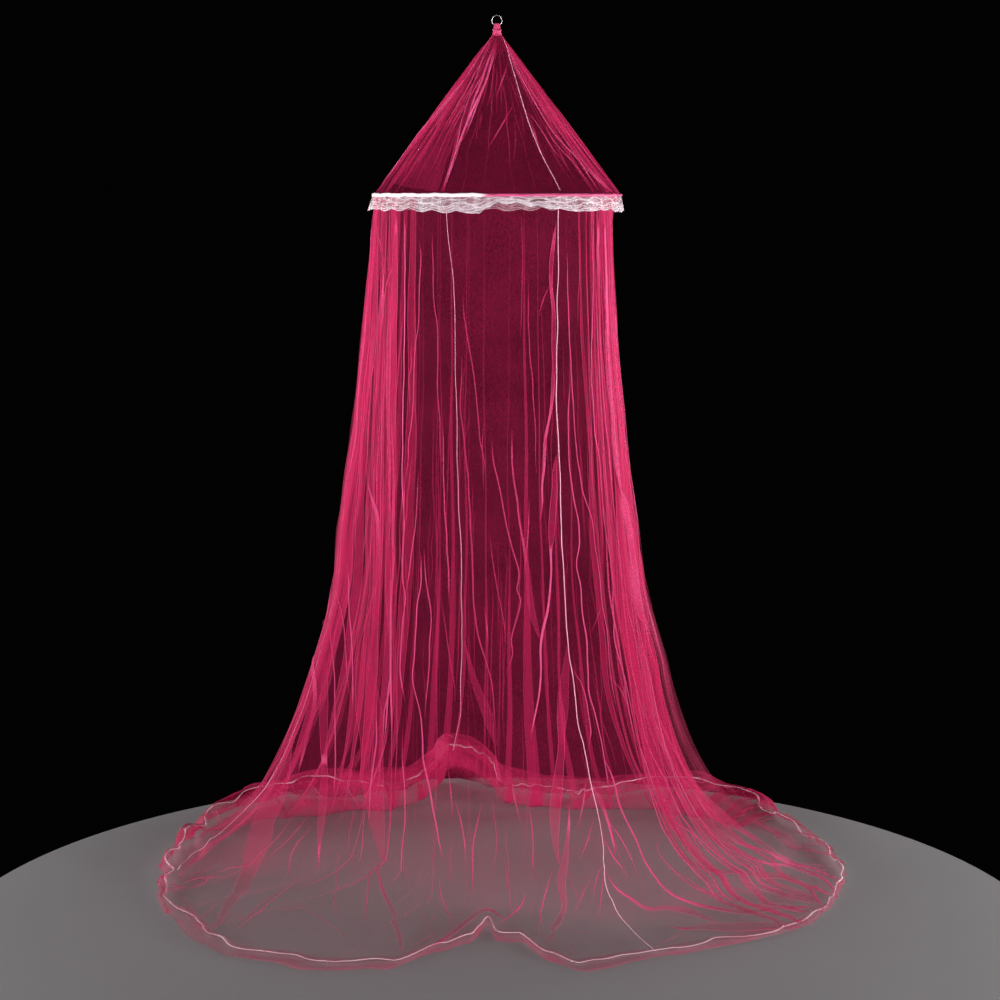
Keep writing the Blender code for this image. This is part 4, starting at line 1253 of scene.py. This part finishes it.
def build_heading(material):
    """Band round the hoop, which narrows to the bare tape right of the front's middle."""
    corners = np.linspace(0.0, FULL_TURN, HEADING_CORNERS)
    turn, corner = np.meshgrid(np.linspace(-180.0, 180.0, HEADING_COLUMNS), corners)
    wobble = 0.0006 * np.sin(np.radians(turn * 23.0)) + 0.0004 * np.sin(np.radians(turn * 61.0))
    radius = HOOP_RADIUS + HOOP_ROD_RADIUS + HEADING_GAP + HEADING_DEPTH * (1.0 + np.cos(corner))
    tape = ease(np.clip((turn - TAPE_START) / 5.0, 0.0, 1.0))
    tape *= ease(np.clip((TAPE_END - turn) / 10.0, 0.0, 1.0))
    half = HEADING_HALF_HEIGHT + (TAPE_HALF_HEIGHT - HEADING_HALF_HEIGHT) * tape
    height = HOOP_HEIGHT + wobble + half * np.sin(corner)
    mesh = grid_mesh("heading_band", polar(turn, radius, height), {"tape": tape})
    add_piece("heading_band", mesh, material, "frill_heading")


NECK_ROWS = table(
    "height half_width half_depth",
    (2.0790, 0.0112, 0.0104),
    (2.0850, 0.0092, 0.0084),
    (2.0880, 0.0098, 0.0088),
    (2.0910, 0.0086, 0.0074),
    (2.0965, 0.0080, 0.0060),
    (2.1020, 0.0076, 0.0052),
    (2.1055, 0.0066, 0.0040),
    (2.1072, 0.0038, 0.0020),
)
NECK_RINGS = 30
NECK_CORNERS = 97
NECK_WRAPS = table("name middle tilt", ("neck_wrap_1", 2.0872, 0.0042), ("neck_wrap_2", 2.0880, -0.0040))
WRAP_COLUMNS = 65
WRAP_CORNERS = 11
WRAP_RADIUS = 0.0094
WRAP_HALF_THICKNESS = 0.0014
WRAP_HALF_HEIGHT = 0.0022


def build_neck(material):
    """Net gathered into a fluted rope, bound by two crossing wraps."""
    knots = field(NECK_ROWS, "height")
    heights = np.linspace(knots[0], knots[-1], NECK_RINGS)
    turn, height = np.meshgrid(np.linspace(0.0, FULL_TURN, NECK_CORNERS), heights)
    flutes = 0.92 + 0.08 * np.cos(13.0 * turn + 160.0 * (height - 2.08)) + 0.05 * np.cos(29.0 * turn)
    wide = np.interp(height, knots, field(NECK_ROWS, "half_width")) * flutes
    deep = np.interp(height, knots, field(NECK_ROWS, "half_depth")) * flutes
    points = np.stack([wide * np.cos(turn), deep * np.sin(turn), height - HANG_HEIGHT], -1)
    # The flutes' outer ridges are painted paler, a painted highlight.
    mesh = grid_mesh("neck_rope", points[::-1], {"crease": 0.25 + 0.35 * (flutes > 0.97)})
    add_piece("neck_rope", mesh, material, "neck_gather")
    corners = np.linspace(0.0, FULL_TURN, WRAP_CORNERS)
    turn, corner = np.meshgrid(np.linspace(0.0, FULL_TURN, WRAP_COLUMNS), corners)
    out = WRAP_RADIUS + WRAP_HALF_THICKNESS * np.cos(corner)
    for binding in NECK_WRAPS:
        rise = binding.middle + binding.tilt * np.cos(turn) + WRAP_HALF_HEIGHT * np.sin(corner)
        points = np.stack([out * np.cos(turn), 0.90 * out * np.sin(turn), rise - HANG_HEIGHT], -1)
        mesh = grid_mesh(binding.name, points, {"crease": np.full(turn.shape, 0.5)})
        add_piece(binding.name, mesh, material, "neck_gather")


HEM_STITCHES = 1200
HEM_STITCH_ROW = 2.90      # where the stitches run on the border
HEM_STITCH_WIDTH = 0.0060


def hem_path():
    """Line of stitches round the border, with a slow wander and a quick, patchy one."""
    azimuth = np.linspace(-180.0, 180.0, HEM_STITCHES)
    angle = np.radians(azimuth)
    share = HEM_STITCH_ROW + 0.015 * np.sin(17.0 * angle)
    share += 0.028 * np.sin(97.0 * angle) * np.sin(11.0 * angle + 0.6)
    whole = np.ones(HEM_STITCHES)
    return Path(skirt_surface, azimuth, share, HEM_STITCH_WIDTH * whole, whole)


def build_creases(net, seam_thread, hem_thread):
    draw = np.random.default_rng(SEED + 2)
    zones = {
        "front": zone_tree(Zone(skirt_surface, -92.0, 100.0, 0.0, 2.0)),
        "foot": zone_tree(Zone(calm_skirt, -92.0, 100.0, 0.0, 2.0)),
        "back": zone_tree(Zone(skirt_surface, 96.0, 268.0, 0.0, 1.0)),
        "roof": zone_tree(Zone(roof_surface, -92.0, 92.0, 0.0, 1.0)),
    }
    # Crease ribbons: denser net along folds, painted paler where their shine is high, a painted
    # highlight.
    hand = UPPER_STROKES + MIDDLE_STROKES + FLOOR_STROKES
    paths = [stroke_path(zones, stroke, draw) for stroke in hand]
    paths += loose_paths(skirt_surface, LOOSE_CREASES, draw, 3.0)
    add_piece("skirt_creases", paths_mesh("skirt_creases", paths), net, "skirt_net")
    paths = [stroke_path(zones, stroke, draw) for stroke in ROOF_STROKES]
    paths += loose_paths(roof_surface, ROOF_CREASES, draw, 1.0)
    add_piece("roof_creases", paths_mesh("roof_creases", paths), net, "roof_net")
    seams = [stroke_path(zones, stroke, draw, SEAM_PASSES) for stroke in SEAM_ROUTES]
    seams = [path._replace(width=path.width * SEAM_SHARE) for path in seams]
    sewn = (("seam_threads", seams, seam_thread), ("hem_stitches", [hem_path()], hem_thread))
    for name, lines, thread in sewn:
        mesh = paths_mesh(name, lines, THREAD_LIFT, THREAD_ZIGZAG)
        add_piece(name, mesh, thread, "skirt_net")


# ---- Floor, lights and camera ----
FLOOR_RADIUS = 1.30
FLOOR_THICKNESS = 0.03
FLOOR_FORWARD = 0.40
FLOOR_SQUEEZE = 0.94       # the floor is this much less deep than wide
BACKDROP_COLOR = (0.0008, 0.0008, 0.0009, 1.0)
LIGHTS = table(
    "name place aim_height width height spread power",
    ("left_front", (-3.4, -2.0, -1.45), -1.10, 1.8, 1.1, 180.0, 65.0),
    ("right_front", (3.4, -2.0, -1.45), -1.10, 1.8, 1.1, 180.0, 85.0),
    ("left_back", (-3.2, 2.2, -1.45), -1.10, 1.8, 1.1, 180.0, 58.0),
    ("right_back", (3.2, 2.2, -1.45), -1.10, 1.8, 1.1, 180.0, 70.0),
    ("upper_left", (-3.0, -1.8, -0.45), -0.20, 1.0, 1.0, 50.0, 7.0),
    ("upper_right", (3.0, -1.8, -0.45), -0.20, 1.0, 1.0, 50.0, 6.5),
    ("low_front", (0.0, -4.2, -1.95), -1.85, 1.8, 0.25, 70.0, 14.0),
)


def build_floor(material):
    """Pale round floor under the train."""
    bpy.ops.mesh.primitive_cylinder_add(vertices=180, radius=FLOOR_RADIUS, depth=FLOOR_THICKNESS)
    floor = bpy.context.object
    floor.name = "floor"
    floor.location = (0.0, -FLOOR_FORWARD, -HANG_HEIGHT - 0.5 * FLOOR_THICKNESS)
    floor.scale = (1.0, FLOOR_SQUEEZE, 1.0)
    floor.data.materials.append(material)


def build_lights():
    """Dark studio with soft lights low on both sides, before and behind, each aimed at the middle."""
    world = bpy.context.scene.world or bpy.data.worlds.new("studio")
    bpy.context.scene.world = world
    world.use_nodes = True
    background = world.node_tree.nodes["Background"]
    background.inputs["Color"].default_value = BACKDROP_COLOR
    background.inputs["Strength"].default_value = 1.0
    for light in LIGHTS:
        data = bpy.data.lights.new(light.name, "AREA")
        data.shape = "RECTANGLE"
        data.size = light.width
        data.size_y = light.height
        data.spread = math.radians(light.spread)
        data.energy = light.power
        lamp = bpy.data.objects.new(light.name, data)
        bpy.context.scene.collection.objects.link(lamp)
        lamp.location = light.place
        across, along, height = light.place
        yaw = math.atan2(-across, along)
        pitch = math.atan2(light.aim_height - height, math.hypot(across, along))
        lamp.rotation_euler = (math.pi / 2 + pitch, 0.0, yaw + math.pi)


def build_camera():
    data = bpy.data.cameras.new("photo_camera")
    data.sensor_width = SENSOR_MM
    data.lens = CAMERA_LENS_MM
    camera = bpy.data.objects.new("photo_camera", data)
    bpy.context.scene.collection.objects.link(camera)
    camera.location = CAMERA_PLACE
    camera.rotation_euler = (math.radians(90.0 - CAMERA_PITCH_DEG), 0.0, 0.0)
    bpy.context.scene.camera = camera


SHEETS = table(
    "name width length area held rests_on with_pieces",
    ("skirt_panel_left", 1.35, 2.10, 2.00, "hung", "hoop", ()),
    ("skirt_panel_front", 1.90, 2.20, 2.42, "hung", "hoop",
     ("skirt_creases", "seam_threads", "hem_stitches")),
    ("skirt_panel_right", 2.05, 2.20, 2.95, "hung", "hoop", ()),
    ("skirt_panel_back", 1.60, 2.10, 2.06, "hung", "hoop", ()),
    ("roof_sheet", 1.90, 0.48, 0.65, "hung", "hanging_ring", ("roof_creases",)),
    ("lace_sheet", 2.30, 0.038, None, "gathered", "hoop", ()),
    ("heading_band", 1.90, 0.017, None, "stretched", "hoop", ()),
)


def main():
    net = make_net_material()
    made = {look.name: make_material(look) for look in LOOKS}
    for node, look in (("hanging_ring", "ring_steel"), ("hoop", "hoop_tape")):
        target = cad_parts[node]
        target.data.materials.clear()
        target.data.materials.append(made[look])
    build_frill(make_lace_material())
    build_heading(made["frill_heading_cloth"])
    build_neck(made["gathered_net"])
    build_skirt(net)
    build_roof(net)
    build_creases(net, made["seam_thread"], made["hem_thread"])
    build_floor(made["pale_floor"])
    build_lights()
    build_camera()
    scene = bpy.context.scene
    scene.cycles.transparent_max_bounces = 64
    scene.view_settings.view_transform = "Standard"
    scene.view_settings.look = "None"


main()
